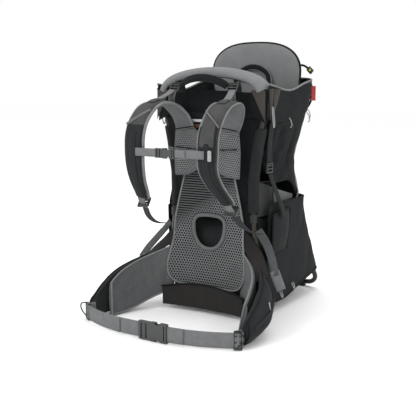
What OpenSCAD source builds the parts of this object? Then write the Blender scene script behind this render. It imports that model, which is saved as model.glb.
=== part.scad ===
// Child carrier backpack: aluminium tube frame with a fold-out kickstand, a fabric cockpit for the
// child, and a padded shoulder harness and hip belt for the wearer. Millimetres, +Z up, the wearer
// stands on the -Y side and the child sits on the +Y side.

/* [Frame] */
// Half width of the main hoop at the waist
waist_half = 118; // [116:1:120]
// Half width of the main hoop at the cockpit
shoulder_half = 149; // [147:1:150]
// Radius of the main hoop tube
hoop_r = 8; // [7:0.5:8]
// Radius of the cockpit, seat and kickstand tubes
tube_r = 7; // [6:0.5:7]
// Height of the cockpit hoop above the ground
cockpit_z = 562; // [558:1:566]
// Rear reach of the cockpit hoop
cockpit_rear = 303; // [298:1:306]

/* [Kickstand] */
// Depth of the hinge pin behind the panel origin
hinge_y = 232; // [230:1:234]
// Height of the hinge pin
hinge_z = 261; // [260:0.5:262]
// Distance from the hinge pin to the foot bar
leg_length = 300; // [299:0.5:301]
// Half distance between the two legs
leg_half = 139; // [138:0.5:139]
// Radius of the hinge pins
pin_r = 4; // [3:0.5:4]

/* [Harness] */
// Width of the shoulder straps at the chest
strap_w = 58; // [50:1:60]
// Thickness of the shoulder straps
strap_t = 13; // [10:1:14]
// Height of the chest strap
sternum_z = 439; // [435:1:443]

/* [Hip belt] */
// Width of the hip webbing
hip_webbing_w = 38; // [34:1:38]
// Thickness of all webbing
webbing_t = 2; // [1.5:0.1:2]

/* [Hidden] */

frame_y = 35;
hoop_z = 24;
foot_z = 14;
leg_angle = acos((hinge_z - foot_z) / leg_length);
foot_y = hinge_y + leg_length * sin(leg_angle);
foot_r = 10;
belt_front = -266;
buckle_t = 11;
// The whole part is shifted so that its bounding box is centred on the origin.
shift_y = -(foot_y + foot_r + belt_front - buckle_t / 2) / 2;
charcoal = [0.10, 0.10, 0.115];
black = [0.05, 0.05, 0.055];
grey = [0.36, 0.36, 0.38];
light = [0.52, 0.52, 0.54];
alloy = [0.16, 0.17, 0.15];

// ---------- points and solids shared by the soft parts ----------

function unit(v) = v / norm(v);
function mix(a, b, t) = a + (b - a) * t;
function mirror_x(p) = [-p[0], p[1], p[2]];

// Catmull-Rom curve through p, with steps points in each span.
function spline_point(p, i, t, closed) =
    let (n = len(p),
         k = function(j) closed ? p[(j + n) % n] : p[max(0, min(n - 1, j))],
         a = k(i - 1), b = k(i), c = k(i + 1), d = k(i + 2))
    0.5 * ((2 * b) + (c - a) * t + (2 * a - 5 * b + 4 * c - d) * t * t
           + (3 * b - a - 3 * c + d) * t * t * t);
function smooth(p, steps, closed = false) =
    [for (i = [0 : len(p) - (closed ? 1 : 2)]) for (s = [0 : steps - 1])
        spline_point(p, i, s / steps, closed),
     if (!closed) p[len(p) - 1]];

// Value of a table of [position, value] rows, with straight lines between the rows.
function at(table, x) =
    let (n = len(table), i = max([for (j = [0 : n - 2]) x >= table[j][0] ? j : 0]),
         a = table[i], b = table[i + 1])
    mix(a[1], b[1], (x - a[0]) / (b[0] - a[0]));

// Six times the signed volume of a closed set of triangles.
function volume6(p, f) =
    [for (t = f) cross(p[t[0]], p[t[1]]) * p[t[2]]] * [for (t = f) 1];

// A closed polyhedron whose faces are turned outward.
module closed_solid(p, f) {
    polyhedron(p, volume6(p, f) > 0 ? [for (t = f) [t[2], t[1], t[0]]] : f);
}

function quad(a, b, c, d) = [[a, b, c], [a, c, d]];

// A solid through equal rings of points; the rings join end to end when closed.
module skin(rings, closed = false) {
    m = len(rings);
    n = len(rings[0]);
    p = [for (r = rings) for (q = r) q];
    sides = [for (i = [0 : m - (closed ? 1 : 2)]) for (j = [0 : n - 1])
        each quad(i * n + j, i * n + (j + 1) % n,
                  ((i + 1) % m) * n + (j + 1) % n, ((i + 1) % m) * n + j)];
    caps = closed ? [] : [for (j = [1 : n - 2]) each [[0, j + 1, j],
        [(m - 1) * n, (m - 1) * n + j, (m - 1) * n + j + 1]]];
    closed_solid(p, concat(sides, caps));
}

// A solid between two equal grids of points; wrap joins the last column to the first.
module between(a, b, wrap = false) {
    m = len(a);
    n = len(a[0]);
    last = wrap ? n - 1 : n - 2;
    p = concat([for (r = a) for (q = r) q], [for (r = b) for (q = r) q]);
    o = m * n;
    faces = [for (i = [0 : m - 2]) for (j = [0 : last])
        let (k = (j + 1) % n, q = [i * n + j, i * n + k, (i + 1) * n + k, (i + 1) * n + j])
        each concat(quad(q[0], q[1], q[2], q[3]), quad(o + q[3], o + q[2], o + q[1], o + q[0]))];
    ends = [for (j = [0 : last]) let (k = (j + 1) % n, e = (m - 1) * n)
        each concat(quad(j, o + j, o + k, k), quad(e + k, o + e + k, o + e + j, e + j))];
    edges = wrap ? [] : [for (i = [0 : m - 2]) let (r = i * n, s = (i + 1) * n, e = n - 1)
        each concat(quad(s, o + s, o + r, r), quad(r + e, o + r + e, o + s + e, s + e))];
    closed_solid(p, concat(faces, ends, edges));
}

// Surface normals of a grid.
function grid_normals(g, wrap) =
    let (m = len(g), n = len(g[0]))
    [for (i = [0 : m - 1]) [for (j = [0 : n - 1])
        let (du = g[min(i + 1, m - 1)][j] - g[max(i - 1, 0)][j],
             dv = wrap ? g[i][(j + 1) % n] - g[i][(j + n - 1) % n]
                       : g[i][min(j + 1, n - 1)] - g[i][max(j - 1, 0)])
        unit(cross(du, dv))]];

// A sheet of thickness t whose middle surface is the grid.
module sheet(g, t, wrap = false) {
    nn = grid_normals(g, wrap);
    offset_grid = function(s) [for (i = [0 : len(g) - 1]) [for (j = [0 : len(g[0]) - 1])
        g[i][j] + nn[i][j] * s]];
    between(offset_grid(t / 2), offset_grid(-t / 2), wrap);
}

// A round bar of radius r along a path.
module bar(path, r, sides = 10, closed = false) {
    n = len(path);
    tangent = function(i) closed ? unit(path[(i + 1) % n] - path[(i + n - 1) % n])
        : unit(path[min(i + 1, n - 1)] - path[max(i - 1, 0)]);
    skin([for (i = [0 : n - 1])
        let (t = tangent(i), u = unit(cross(t, abs(t[1]) > 0.9 ? [1, 0, 0] : [0, 1, 0])), v = cross(t, u))
        [for (j = [0 : sides - 1]) let (a = 360 * j / sides)
            path[i] + r * cos(a) * u + r * sin(a) * v]], closed);
}

// A flat band along a path: rows are [centre, across direction, width], with bevelled edges.
module band(rows, t) {
    n = len(rows);
    skin([for (i = [0 : n - 1])
        let (c = rows[i][0], w = unit(rows[i][1]), hw = rows[i][2] / 2,
             d = unit(rows[min(i + 1, n - 1)][0] - rows[max(i - 1, 0)][0]),
             h = unit(cross(d, w)), e = min(t * 0.3, hw * 0.5))
        [for (s = [[-hw, e - t / 2], [e - hw, -t / 2], [hw - e, -t / 2], [hw, e - t / 2],
                   [hw, t / 2 - e], [hw - e, t / 2], [e - hw, t / 2], [-hw, t / 2 - e]])
            c + s[0] * w + s[1] * h]]);
}

// Children and their mirror image in the middle plane.
module both_sides() {
    children();
    mirror([1, 0, 0]) children();
}

module place() translate([0, shift_y, 0]) children();

// ---------- frame ----------

hoop_top = 630;
hoop_right = [[70, 24], [122, 24.5], [141, 35], [147, 62], [140, 130], [125, 210], [waist_half, 290],
              [waist_half + 1, 370], [131, 450], [shoulder_half - 3, 520], [shoulder_half, 565],
              [140, 596], [112, 614], [60, 626]];
hoop_points = concat([[0, 24]], hoop_right, [[0, hoop_top]],
                     [for (i = [len(hoop_right) - 1 : -1 : 0]) [-hoop_right[i][0], hoop_right[i][1]]]);
hoop_path = [for (p = smooth(hoop_points, 3, true)) [p[0], frame_y, p[1]]];

// Half width of the main hoop's centre line at height z, on the straight part of its sides.
function hoop_half(z) = at([[62, 147], [130, 140], [210, 125], [290, waist_half], [370, waist_half + 1],
                            [450, 131], [520, shoulder_half - 3], [565, shoulder_half]], z);

module frame_hoop() {
    color(alloy) bar(hoop_path, hoop_r, 12, true);
}

// A flat U of tube: two arms along Y at +-half, bends of radius bend, and a rear bar.
module u_tube(half, front, rear, bend, r) {
    both_sides() {
        translate([half, front, 0]) rotate([-90, 0, 0]) cylinder(r = r, h = rear - bend - front, $fn = 32);
        translate([half - bend, rear - bend, 0]) rotate_extrude(angle = 90, $fn = 64)
            translate([bend, 0]) circle(r = r, $fn = 32);
        translate([0, rear, 0]) rotate([0, 90, 0]) cylinder(r = r, h = half - bend, $fn = 32);
    }
}

cockpit_half = 149;
module cockpit_hoop() {
    color(alloy) translate([0, 0, cockpit_z]) u_tube(cockpit_half, 46, cockpit_rear - 8, 60, tube_r);
}

seat_half = 100;
seat_rear = 279;
module seat_hoop() {
    color(alloy) translate([0, 0, hinge_z]) u_tube(seat_half, 46, seat_rear, 26, tube_r);
}

// A clamp that holds a rearward arm beside an upright of the main hoop.
module joiner(arm_x, z) {
    upright_x = hoop_half(z);
    sleeve_r = hoop_r + 3.5;
    color(charcoal) difference() {
        union() {
            translate([upright_x, frame_y, z - 11]) cylinder(r = sleeve_r, h = 22, $fn = 40);
            translate([arm_x, frame_y, z]) rotate([-90, 0, 0]) cylinder(r = tube_r + 4, h = 34, $fn = 40);
            translate([arm_x, frame_y - 8, z - 8]) cube([upright_x - arm_x, 16, 16]);
        }
        translate([upright_x, frame_y, z - 20]) cylinder(r = hoop_r + 1.6, h = 40, $fn = 40);
        translate([arm_x, 46, z]) rotate([-90, 0, 0]) cylinder(r = tube_r + 0.1, h = 40, $fn = 40);
    }
}

module hoop_joiners() both_sides() {
    joiner(seat_half, hinge_z);
    joiner(cockpit_half, cockpit_z);
}

// ---------- kickstand ----------

hub_inner = 92;
slot_inner = leg_half - 12;
slot_outer = leg_half + 12;
hub_outer = leg_half + 16;
pin_clearance = 0.05;

module kickstand_hub() {
    color(charcoal) difference() {
        union() {
            translate([hub_inner, hinge_y - 18, hinge_z - 17]) cube([slot_inner - hub_inner, 36, 34]);
            translate([slot_outer, hinge_y, hinge_z]) rotate([0, 90, 0])
                cylinder(r = 17, h = hub_outer - slot_outer, $fn = 48);
            translate([slot_outer, hinge_y - 17, hinge_z]) cube([hub_outer - slot_outer, 34, 20]);
            translate([hub_inner, hinge_y - 18, hinge_z + 17]) cube([hub_outer - hub_inner, 36, 6]);
        }
        translate([seat_half, hinge_y - 40, hinge_z]) rotate([-90, 0, 0])
            cylinder(r = tube_r + 0.1, h = 80, $fn = 40);
        translate([slot_inner - 14, hinge_y, hinge_z]) rotate([0, 90, 0])
            cylinder(r = pin_r, h = 60, $fn = 40);
    }
}
module kickstand_hubs() both_sides() kickstand_hub();

module pivot_pins() color([0.7, 0.7, 0.72]) both_sides()
    translate([slot_inner - 14, hinge_y, hinge_z]) rotate([0, 90, 0])
        cylinder(r = pin_r - 0.01, h = hub_outer - slot_inner + 14, $fn = 40);

// Children drawn hanging from the hinge pin, swung back to the deployed angle.
module deployed() translate([0, hinge_y, hinge_z]) rotate([leg_angle, 0, 0]) children();

kick_bend = 38;
lug_reach = 20;
module kickstand_tube() color(alloy) deployed() both_sides() {
    translate([leg_half, 0, kick_bend - leg_length])
        cylinder(r = tube_r, h = leg_length - kick_bend - lug_reach, $fn = 40);
    translate([leg_half - kick_bend, 0, kick_bend - leg_length]) rotate([-90, 0, 0])
        rotate_extrude(angle = 90, $fn = 64) translate([kick_bend, 0]) circle(r = tube_r, $fn = 40);
    translate([0, 0, -leg_length]) rotate([0, 90, 0])
        cylinder(r = tube_r, h = leg_half - kick_bend, $fn = 40);
}

module kickstand_lugs() color(charcoal) deployed() both_sides()
    difference() {
        union() {
            translate([leg_half - 11, 0, 0]) rotate([0, 90, 0]) cylinder(r = 13, h = 22, $fn = 48);
            translate([leg_half, 0, -38]) cylinder(r = 10, h = 38, $fn = 40);
        }
        translate([leg_half - 20, 0, 0]) rotate([0, 90, 0])
            cylinder(r = pin_r + pin_clearance, h = 40, $fn = 40);
        translate([leg_half, 0, -50]) cylinder(r = tube_r + 0.1, h = 50 - lug_reach, $fn = 40);
    }

foot_in = 79;
foot_len = 18;
module kickstand_feet() color(black) both_sides() difference() {
    union() {
        translate([foot_in, foot_y, foot_z]) rotate([0, 90, 0]) cylinder(r = foot_r, h = foot_len, $fn = 48);
        translate([foot_in, foot_y - 7, 0]) cube([foot_len, 14, foot_z]);
    }
    translate([foot_in - 5, foot_y, foot_z]) rotate([0, 90, 0])
        cylinder(r = tube_r + 0.1, h = foot_len + 10, $fn = 40);
}

module front_feet() color(black) both_sides() difference() {
    translate([86, frame_y - 12, 0]) cube([26, 22, 23]);
    translate([70, frame_y, hoop_z]) rotate([0, 90, 0]) cylinder(r = hoop_r + 1, h = 60, $fn = 48);
}

// ---------- back panel and lumbar ----------

// Depth of the tensioned back panel: hollow in the middle, its edges pulled forward.
function panel_y(x, z) = at([[60, 2], [110, 7], [160, 12], [250, 17], [530, 20]], z)
    - 7 * pow(abs(x) / 115, 2);
function panel_half(z) = at([[66, 110], [100, 107], [160, 103], [250, 104], [310, 92], [365, 80],
                             [420, 84], [520, 98]], z);

hole_top = 262;
hole_bottom = 172;
// Outline of the lumbar window: flat-topped and round below.
window_steps = 36;
function window_point(a, grow) =
    let (s = sin(a), c = cos(a), zc = 234,
         up = hole_top - zc, down = zc - hole_bottom)
    [(48 + grow) * sign(c) * pow(abs(c), s > 0 ? 0.62 : 0.9),
     zc + sign(s) * ((s > 0 ? up : down) + grow) * pow(abs(s), s > 0 ? 0.72 : 0.95)];
function panel_point(a) =
    let (s = sin(a), c = cos(a), top = 520, base = 66,
         z = s > 0 ? mix(234, top, pow(s, 1.15)) : mix(234, base + 16 * (1 - abs(c)), pow(-s, 0.8)),
         x = abs(c) > 0.001 ? panel_half(z) * sign(c) * min(1, pow(abs(c), 0.32)) : 0)
    [x, z];

module back_panel() {
    rows = 4;
    color(grey) sheet([for (i = [0 : rows]) [for (j = [0 : window_steps - 1])
        let (a = 360 * j / window_steps, p = mix(window_point(a, 5.5), panel_point(a), i / rows))
        [p[0], panel_y(p[0], p[1]), p[1]]]], 4, true);
}

module hole_binding() {
    color(light) bar([for (j = [0 : window_steps - 1]) let (p = window_point(360 * j / window_steps, 0))
        [p[0], panel_y(p[0], p[1]) - 1, p[1]]], 4, 8, true);
}

// A plate with a row of stops behind the yoke that sets the torso length.
module adjuster_plate() color(black) difference() {
    translate([-32, 22.9, 380]) cube([64, 2.4, 130]);
    for (i = [0 : 4]) translate([-22, 20, 396 + 22 * i]) cube([44, 10, 5]);
}

function lumbar_y(x) = -9 - 13 * pow(x / 132, 2);
module lumbar_pad() {
    color(charcoal) sheet([for (x = [-117 : 23.4 : 118]) [for (k = [0 : 3])
        let (top = 62 + 17 * cos(x * 90 / 130)) [x, lumbar_y(x), mix(20, top, k / 3)]]], 12);
}

// ---------- cockpit ----------

// Sleeves of fabric round the uprights.
module frame_sleeves() color(charcoal) both_sides()
    sheet([for (z = [276 : 24 : 492]) [for (j = [0 : 15]) let (a = 360 * j / 16)
        [hoop_half(z) + 13 * cos(a), frame_y + 5 + 20 * sin(a), z]]], 2, true);

module front_top_panel() color(black) {
    sheet([for (x = [-132 : 24 : 132]) [for (k = [0 : 2]) [x, 21, mix(520 + abs(x) * 0.06, 588 - abs(x) * 0.05, k / 2)]]], 3);
}

// The padded bar over the top of the main hoop, open underneath.
top_curve = [for (p = smooth(hoop_points, 4, true)) if (p[1] > 577) p];
module drool_pad() {
    n = len(top_curve);
    ring = function(i, ry, rz) let (p = top_curve[i],
         d = unit(top_curve[min(i + 1, n - 1)] - top_curve[max(i - 1, 0)]))
        [for (a = [-30 : 20 : 210]) [p[0] + d[1] * rz * sin(a), frame_y + ry * cos(a), p[1] - d[0] * rz * sin(a)]];
    color(light) between([for (i = [0 : n - 1]) ring(i, 25, 17)], [for (i = [0 : n - 1]) ring(i, 14, 9.5)]);
}

// Plan of the cockpit's outer wall, from the front edge round to the middle of the rear.
function wall_plan(side, rear, corner = 70) = concat(
    [for (y = [22 : (rear - corner - 22) / 6 : rear - corner - 1]) [side, y, 0]],
    [for (a = [0 : 15 : 75]) [side - corner + corner * cos(a), rear - corner + corner * sin(a), 0]],
    [for (u = [0 : 0.34 : 1]) [mix(side - corner, 2, u), rear, 0]]);
collar_top = [[20, 602], [48, 598], [140, 586], [235, 606], [330, 618]];
collar_bottom = [[20, 530], [48, 512], [140, 506], [235, 524], [330, 530]];
module collar() {
    rows = [0, 0.35, 0.7, 1];
    top_plan = wall_plan(168, 324);
    low_plan = wall_plan(161, 311);
    color(charcoal) sheet([for (i = [0 : len(top_plan) - 1]) [for (k = rows)
        let (p = mix(low_plan[i], top_plan[i], k), y = p[1])
        [p[0], y, mix(at(collar_bottom, y), at(collar_top, y), k)]]], 3);
}
module collar_right() collar();
module collar_left() mirror([1, 0, 0]) collar();

// Lower side wall of the cockpit, behind the leg opening.
module side_panel() {
    color(black) sheet([for (i = [0 : 7]) [for (k = [0 : 5])
        let (u = i / 7, low = 350 - 50 * pow(max(0, u - 0.55) / 0.45, 1.5), z = mix(low, 502, k / 5),
             front = mix(96, 60, k / 5),
             rear = at([[300, 250], [366, 247], [420, 268], [502, 290]], z), y = mix(front, rear, u),
             half = at([[300, 150], [340, 146], [400, 136], [502, 152]], z))
        [half - 16 * pow(u, 4), y, z]]], 2.5);
}
module side_panel_right() side_panel();
module side_panel_left() mirror([1, 0, 0]) side_panel();

module rear_panel() {
    color(black) sheet([for (i = [0 : 8]) [for (k = [0 : 5])
        let (u = i / 8 * 2 - 1, z = mix(300, 508, k / 5),
             half = at([[300, 132], [340, 126], [400, 116], [508, 130]], z),
             rear = at([[300, 292], [366, 274], [420, 286], [508, 303]], z))
        [half * u, rear - 16 * u * u, z]]], 2.5);
}

// ---------- storage ----------

module storage_bag() color(charcoal)
    translate([-122, 0, 0]) rotate([90, 0, 90])
        linear_extrude(height = 244)
            polygon([[50, 52], [110, 36], [170, 33], [250, 56], [330, 86], [338, 106], [280, 214],
                     [268, 236], [50, 236]]);

// Fabric that runs from the cockpit walls down to the kickstand and folds when it swings in.
function skin_rear(z) = at([[60, 408], [152, 362], [224, 313], [262, 298], [296, 296]], z);
function skin_half(z) = at([[60, 154], [150, 157], [262, 160], [296, 160]], z);
function skin_hem(y) = at([[60, 28], [157, 28], [251, 52], [410, 82]], y);
function skin_plan(z) = let (h = skin_half(z), r = skin_rear(z), c = r - 56) concat(
    [for (u = [0 : 0.125 : 0.99]) [h - 8 * pow(1 - u, 3), mix(62, c, u)]],
    [for (a = [0 : 18 : 72]) [h - 80 + 80 * cos(a), c + 56 * sin(a)]],
    [for (x = [60 : -30 : -60]) [x, r]],
    [for (a = [108 : 18 : 180]) [80 - h + 80 * cos(a), c + 56 * sin(a)]],
    [for (u = [0.875 : -0.125 : 0]) [8 * pow(1 - u, 3) - h, mix(62, c, u)]]);
module storage_skin() {
    top = skin_plan(296);
    color(charcoal) sheet([for (i = [0 : len(top) - 1]) [for (k = [0 : 5])
        let (low = skin_hem(skin_plan(80)[i][1]), z = mix(low, 296, k / 5), p = skin_plan(z)[i])
        [p[0], p[1], z]]], 2);
}

// A closed pouch bulging out of a flat back.
module pouch(y0, y1, z0, z1, base, bulge) {
    inner = [for (i = [0 : 8]) [for (k = [0 : 6]) [base(mix(z0, z1, k / 6)), mix(y0, y1, i / 8), mix(z0, z1, k / 6)]]];
    outer = [for (i = [0 : 8]) [for (k = [0 : 6])
        let (b = 2.5 + bulge * pow(sin(180 * i / 8), 0.6) * pow(sin(180 * k / 6), 0.6))
        inner[i][k] + [b, 0, 0]]];
    between(inner, outer);
}
module side_pocket() color(charcoal)
    pouch(62, 208, 165, 316, function(z) skin_half(min(z, 290)) + 1.6, 12);
module side_pocket_right() side_pocket();
module side_pocket_left() mirror([1, 0, 0]) side_pocket();

// ---------- child's seat ----------

// Outline of an arched pad, counter-clockwise from its lower right corner.
function arch(half, low, spring, top) = concat([[half, low]],
    [for (a = [0 : 10 : 180]) [half * sign(cos(a)) * pow(abs(cos(a)), 0.75),
                               spring + (top - spring) * pow(sin(a), 0.85)]], [[-half, low]]);
module arch_pad(half, low, spring, top, y0, y1) {
    translate([0, y1, 0]) rotate([90, 0, 0]) linear_extrude(height = y1 - y0)
        polygon(arch(half, low, spring, top));
}
module headrest() color(grey) translate([0, 270, 0]) rotate([90, 0, 0]) linear_extrude(height = 18)
    polygon(concat([[118, 532], [120, 566], [140, 586]], arch(142, 594, 634, 719), [[-140, 586],
                   [-120, 566], [-118, 532]]));
module sunshade_pouch() color(black) arch_pad(126, 574, 636, 708, 271, 294);
module rear_handle() color(black)
    bar(smooth([[-34, 299, 664], [-31, 306, 688], [0, 310, 704], [31, 306, 688], [34, 299, 664]], 4), 3.5, 8);
module child_backrest() color(charcoal) arch_pad(100, 352, 470, 528, 240, 254);

halo_right = [[34, 229, 400], [40, 230, 460], [47, 232, 530], [54, 238, 590], [48, 243, 626], [26, 245, 644]];
halo_path = smooth(concat([for (p = halo_right) mirror_x(p)], [[0, 245, 650]],
    [for (i = [len(halo_right) - 1 : -1 : 0]) halo_right[i]]), 3);
module child_halo() {
    n = len(halo_path);
    color(black) band([for (i = [0 : n - 1])
        let (d = unit(halo_path[min(i + 1, n - 1)] - halo_path[max(i - 1, 0)]))
        [halo_path[i], cross(d, [0, 1, 0]) + [0, 0.0, 0], 16]], 9);
}
module child_buckle() color(black) {
    translate([-26, 226, 372]) cube([52, 12, 26]);
    translate([0, 226, 385]) rotate([90, 0, 0]) cylinder(r = 9, h = 2, $fn = 40);
}

module seat_pad() {
    color(charcoal) sheet([for (i = [0 : 6]) let (u = i / 6, y = mix(58, 234, u), half = at([[0, 52], [0.5, 58], [1, 92]], u))
        [for (k = [0 : 6]) let (v = k / 3 - 1)
            [half * v, y, 322 + 30 * pow(1 - u, 3) + 14 * v * v * u]]], 16);
}

module stirrup_straps() color(charcoal) both_sides() {
    band([[[159, 60, 506], [0, 1, 0], 24], [[150.5, 64, 450], [0, 1, 0], 24], [[147, 68, 405], [0, 1, 0], 24]], webbing_t);
    band([[[147, 74, 375], [0, 1, 0], 22], [[154, 82, 346], [0, 1, 0], 22], [[161, 88, 320], [0, 1, 0], 22]], webbing_t);
}

// A three-bar webbing adjuster lying in the XZ plane.
module ladder_lock(w, h, t) difference() {
    translate([-w / 2, -t / 2, -h / 2]) cube([w, t, h]);
    for (z = [-h * 0.36, -h * 0.03]) translate([-w * 0.38, -t, z]) cube([w * 0.76, 2 * t, h * 0.22]);
    translate([-w * 0.38, -t, h * 0.3]) cube([w * 0.76, 2 * t, h * 0.1]);
}
module stirrup_locks() color(black) both_sides()
    translate([147, 71, 390]) rotate([0, 0, 90]) ladder_lock(30, 26, 5);

// ---------- hip belt ----------

// Inner face of the right wing: u runs from the lumbar to the tip and v from bottom to top.
wing_low = [[125, -18, 44], [148, -48, 30], [168, -86, 14], [181, -126, 7], [188, -162, 5], [189, -202, 4]];
wing_top = [[112, 1, 170], [150, -32, 150], [177, -72, 132], [193, -114, 112], [199, -148, 88],
            [200, -186, 60]];
function wing_row(p, u) = let (s = u * (len(p) - 1), i = min(floor(s), len(p) - 2))
    spline_point(p, i, s - i, false);
function wing(u, v, out) =
    let (a = wing_row(wing_low, u), b = wing_row(wing_top, u), e = 0.02,
         d = wing_row(wing_low, min(1, u + e)) - wing_row(wing_low, max(0, u - e))
           + wing_row(wing_top, min(1, u + e)) - wing_row(wing_top, max(0, u - e)),
         n = unit([-d[1], d[0], 0]))
    mix(a, b, v) + out * n;
wing_pad_t = 18;
module hip_pad() {
    color(grey) between([for (i = [0 : 10]) [for (k = [0 : 4]) wing(0.08 * i, k / 4, 0)]],
        [for (i = [0 : 10]) [for (k = [0 : 4]) wing(0.08 * i, k / 4,
            wing_pad_t * (0.55 + 0.45 * pow(sin(180 * k / 4), 0.5)))]]);
}
module hip_pad_right() hip_pad();
module hip_pad_left() mirror([1, 0, 0]) hip_pad();

// Outer face of the pocket: full below, and flat where it meets the tip.
function pocket_skin(u, v) = wing(mix(0.16, 1, u), mix(0.02, 0.97, v), wing_pad_t + 7
    + 34 * pow(sin(180 * mix(0.05, 0.82, u)), 0.7) * pow(sin(180 * pow(mix(0.03, 0.97, v), 0.8)), 0.55));
module hip_pocket() color(black) between(
    [for (i = [0 : 12]) [for (k = [0 : 7])
        wing(mix(0.16, 1, i / 12), mix(0.02, 0.97, k / 7), wing_pad_t + 0.8)]],
    [for (i = [0 : 12]) [for (k = [0 : 7]) pocket_skin(i / 12, k / 7)]]);
module hip_pocket_right() hip_pocket();
module hip_pocket_left() mirror([1, 0, 0]) hip_pocket();

webbing_z = 24;
belt_curve = [[80, -265], [112, -261], [145, -253], [176, -242], [198, -232], [211, -225.5]];
socket_x = 14;
socket_len = 46;
tongue_len = 34;
module belt_webbing(start, points) {
    p = concat([[start, belt_front]], points);
    path = concat([[start, belt_front, 0], [start + sign(points[0][0]) * 8, belt_front, 0]],
        smooth([for (q = points) [q[0], q[1], 0]], 3));
    color(light) band([for (q = path) [[q[0], q[1], webbing_z], [0, 0, 1], hip_webbing_w]], webbing_t);
}
module hip_webbing_right() belt_webbing(62, belt_curve);
module hip_webbing_left() belt_webbing(-14, [for (p = belt_curve) [-p[0], p[1]]]);

module hip_adjusters() color(black) both_sides()
    translate([223.5, -217, webbing_z]) rotate([0, 0, 30]) ladder_lock(20, 44, 7);

// Side-release buckle: the socket is a flat box with side windows, the tongue has two prongs.
module socket(len, w, t) difference() {
    translate([0, -t / 2, -w / 2]) cube([len, t, w]);
    translate([-1, -t / 2 + 1.6, -w / 2 + 3.2]) cube([len * 0.72, t - 3.2, w - 6.4]);
    for (s = [-1, 1]) translate([len * 0.3, -t, s * w / 2 - 4]) cube([len * 0.28, 2 * t, 8]);
    translate([len * 0.82, -t, -w * 0.4]) cube([len * 0.07, 2 * t, w * 0.8]);
}
module tongue(len, w, t, reach) difference() {
    union() {
        translate([-len, -t / 2, -w / 2]) cube([len, t, w]);
        for (s = [-1, 1]) translate([0, -t / 2 + 2.2, s * (w / 2 - 7.5) - 3]) cube([reach, t - 4.4, 6]);
        translate([0, -t / 2 + 2.2, -2]) cube([reach * 0.8, t - 4.4, 4]);
    }
    for (x = [-len * 0.82, -len * 0.42]) translate([x, -t, -w * 0.4]) cube([len * 0.14, 2 * t, w * 0.8]);
    translate([-len - 1, -1.6, -w / 2 + 1.2]) cube([len * 0.34, 3.2, w - 2.4]);
}
module hip_socket() color(charcoal) translate([socket_x, belt_front, webbing_z]) socket(socket_len, 46, 11);
module hip_tongue() color(charcoal)
    translate([socket_x - 0.6, belt_front, webbing_z]) tongue(tongue_len, 44, 10, 28);

module hip_stabilizers() color(light) both_sides()
    band([for (p = smooth([[137, 32, 232], [150, 33, 215], [166, 28, 196], [183, 17, 173], [197, 4, 151], [207, -7, 130]], 3))
        [p, [0.55, 0.4, 0.75], 24]], webbing_t);

// The zip slider of a hip pocket: it stands on the fullest part and runs along the zip.
zip_u = 0.52;
zip_v = 0.62;
zip_at = pocket_skin(zip_u, zip_v);
zip_dir = unit(pocket_skin(zip_u + 0.02, zip_v) - pocket_skin(zip_u - 0.02, zip_v));
zip_up = unit(pocket_skin(zip_u, zip_v + 0.02) - pocket_skin(zip_u, zip_v - 0.02));
zip_out = unit(cross(zip_up, zip_dir));
module pocket_slider() {
    v = cross(zip_out, zip_dir);
    o = zip_at + 0.8 * zip_out;
    multmatrix([for (i = [0 : 2]) [zip_dir[i], v[i], zip_out[i], o[i]]]) {
        color([0.6, 0.6, 0.6]) translate([-4.5, -3, 0]) cube([9, 6, 3]);
        color(black) translate([-2.5, -20, 3]) cube([5, 21, 1.6]);
    }
}
module pocket_slider_right() pocket_slider();
module pocket_slider_left() mirror([1, 0, 0]) pocket_slider();

// ---------- shoulder harness ----------

module yoke() {
    outline = [[46, 374], [98, 366], [99, 430], [94, 486], [38, 490], [0, 466]];
    color(grey) translate([0, 7, 0]) rotate([90, 0, 0]) linear_extrude(height = 11)
        polygon(concat(outline, [for (i = [4 : -1 : 0]) [-outline[i][0], outline[i][1]]]));
}

strap_points = [[72, 1, 503], [81, -6, 525], [93, -27, 547], [102, -62, 557], [106, -106, 547],
                [108, -142, 516], [108, -160, 480], [108, -163, 440], [108, -161, 402],
                [115, -143, 366], [124, -116, 334], [129, -102, 316]];
strap_widths = [58, 60, 62, strap_w + 4, strap_w + 2, strap_w, strap_w, strap_w, strap_w - 4, 48, 42, 38];
module shoulder_strap() {
    pts = smooth(strap_points, 2);
    n = len(pts);
    color(charcoal) band([for (i = [0 : n - 1])
        let (u = i / (n - 1) * (len(strap_widths) - 1), a = floor(u), b = min(a + 1, len(strap_widths) - 1))
        [pts[i], [1, i < 4 ? 0.1 : 0, i < 4 ? 0.25 - i * 0.06 : 0], mix(strap_widths[a], strap_widths[b], u - a)]], strap_t);
}
module shoulder_strap_right() shoulder_strap();
module shoulder_strap_left() mirror([1, 0, 0]) shoulder_strap();

module strap_locks() color(light) both_sides()
    translate([132, -93, 300]) rotate([-40, 8, 0]) ladder_lock(34, 26, 6);

// Webbing from the shoulder straps down to the sides of the pack.
module lower_webbing() color(charcoal) both_sides()
    band([for (p = smooth([[135, -84, 285], [141, -64, 262], [146, -38, 244], [149, -8, 232], [150, 22, 226]], 3))
        [p, [0.9, 0.3, -0.2], 20]], webbing_t);

module load_lifter_locks() color(grey) both_sides()
    translate([87, -13, 595]) rotate([-32, 0, 0]) ladder_lock(30, 24, 6);
module load_lifters() color(light) both_sides()
    band([[[102, -70, 565.8], [1, 0, 0], 20], [[99, -56, 570], [1, 0, 0], 20],
          [[94, -38, 578], [1, 0, 0], 20], [[90, -22, 588], [1, 0, 0], 20]], webbing_t);

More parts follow.
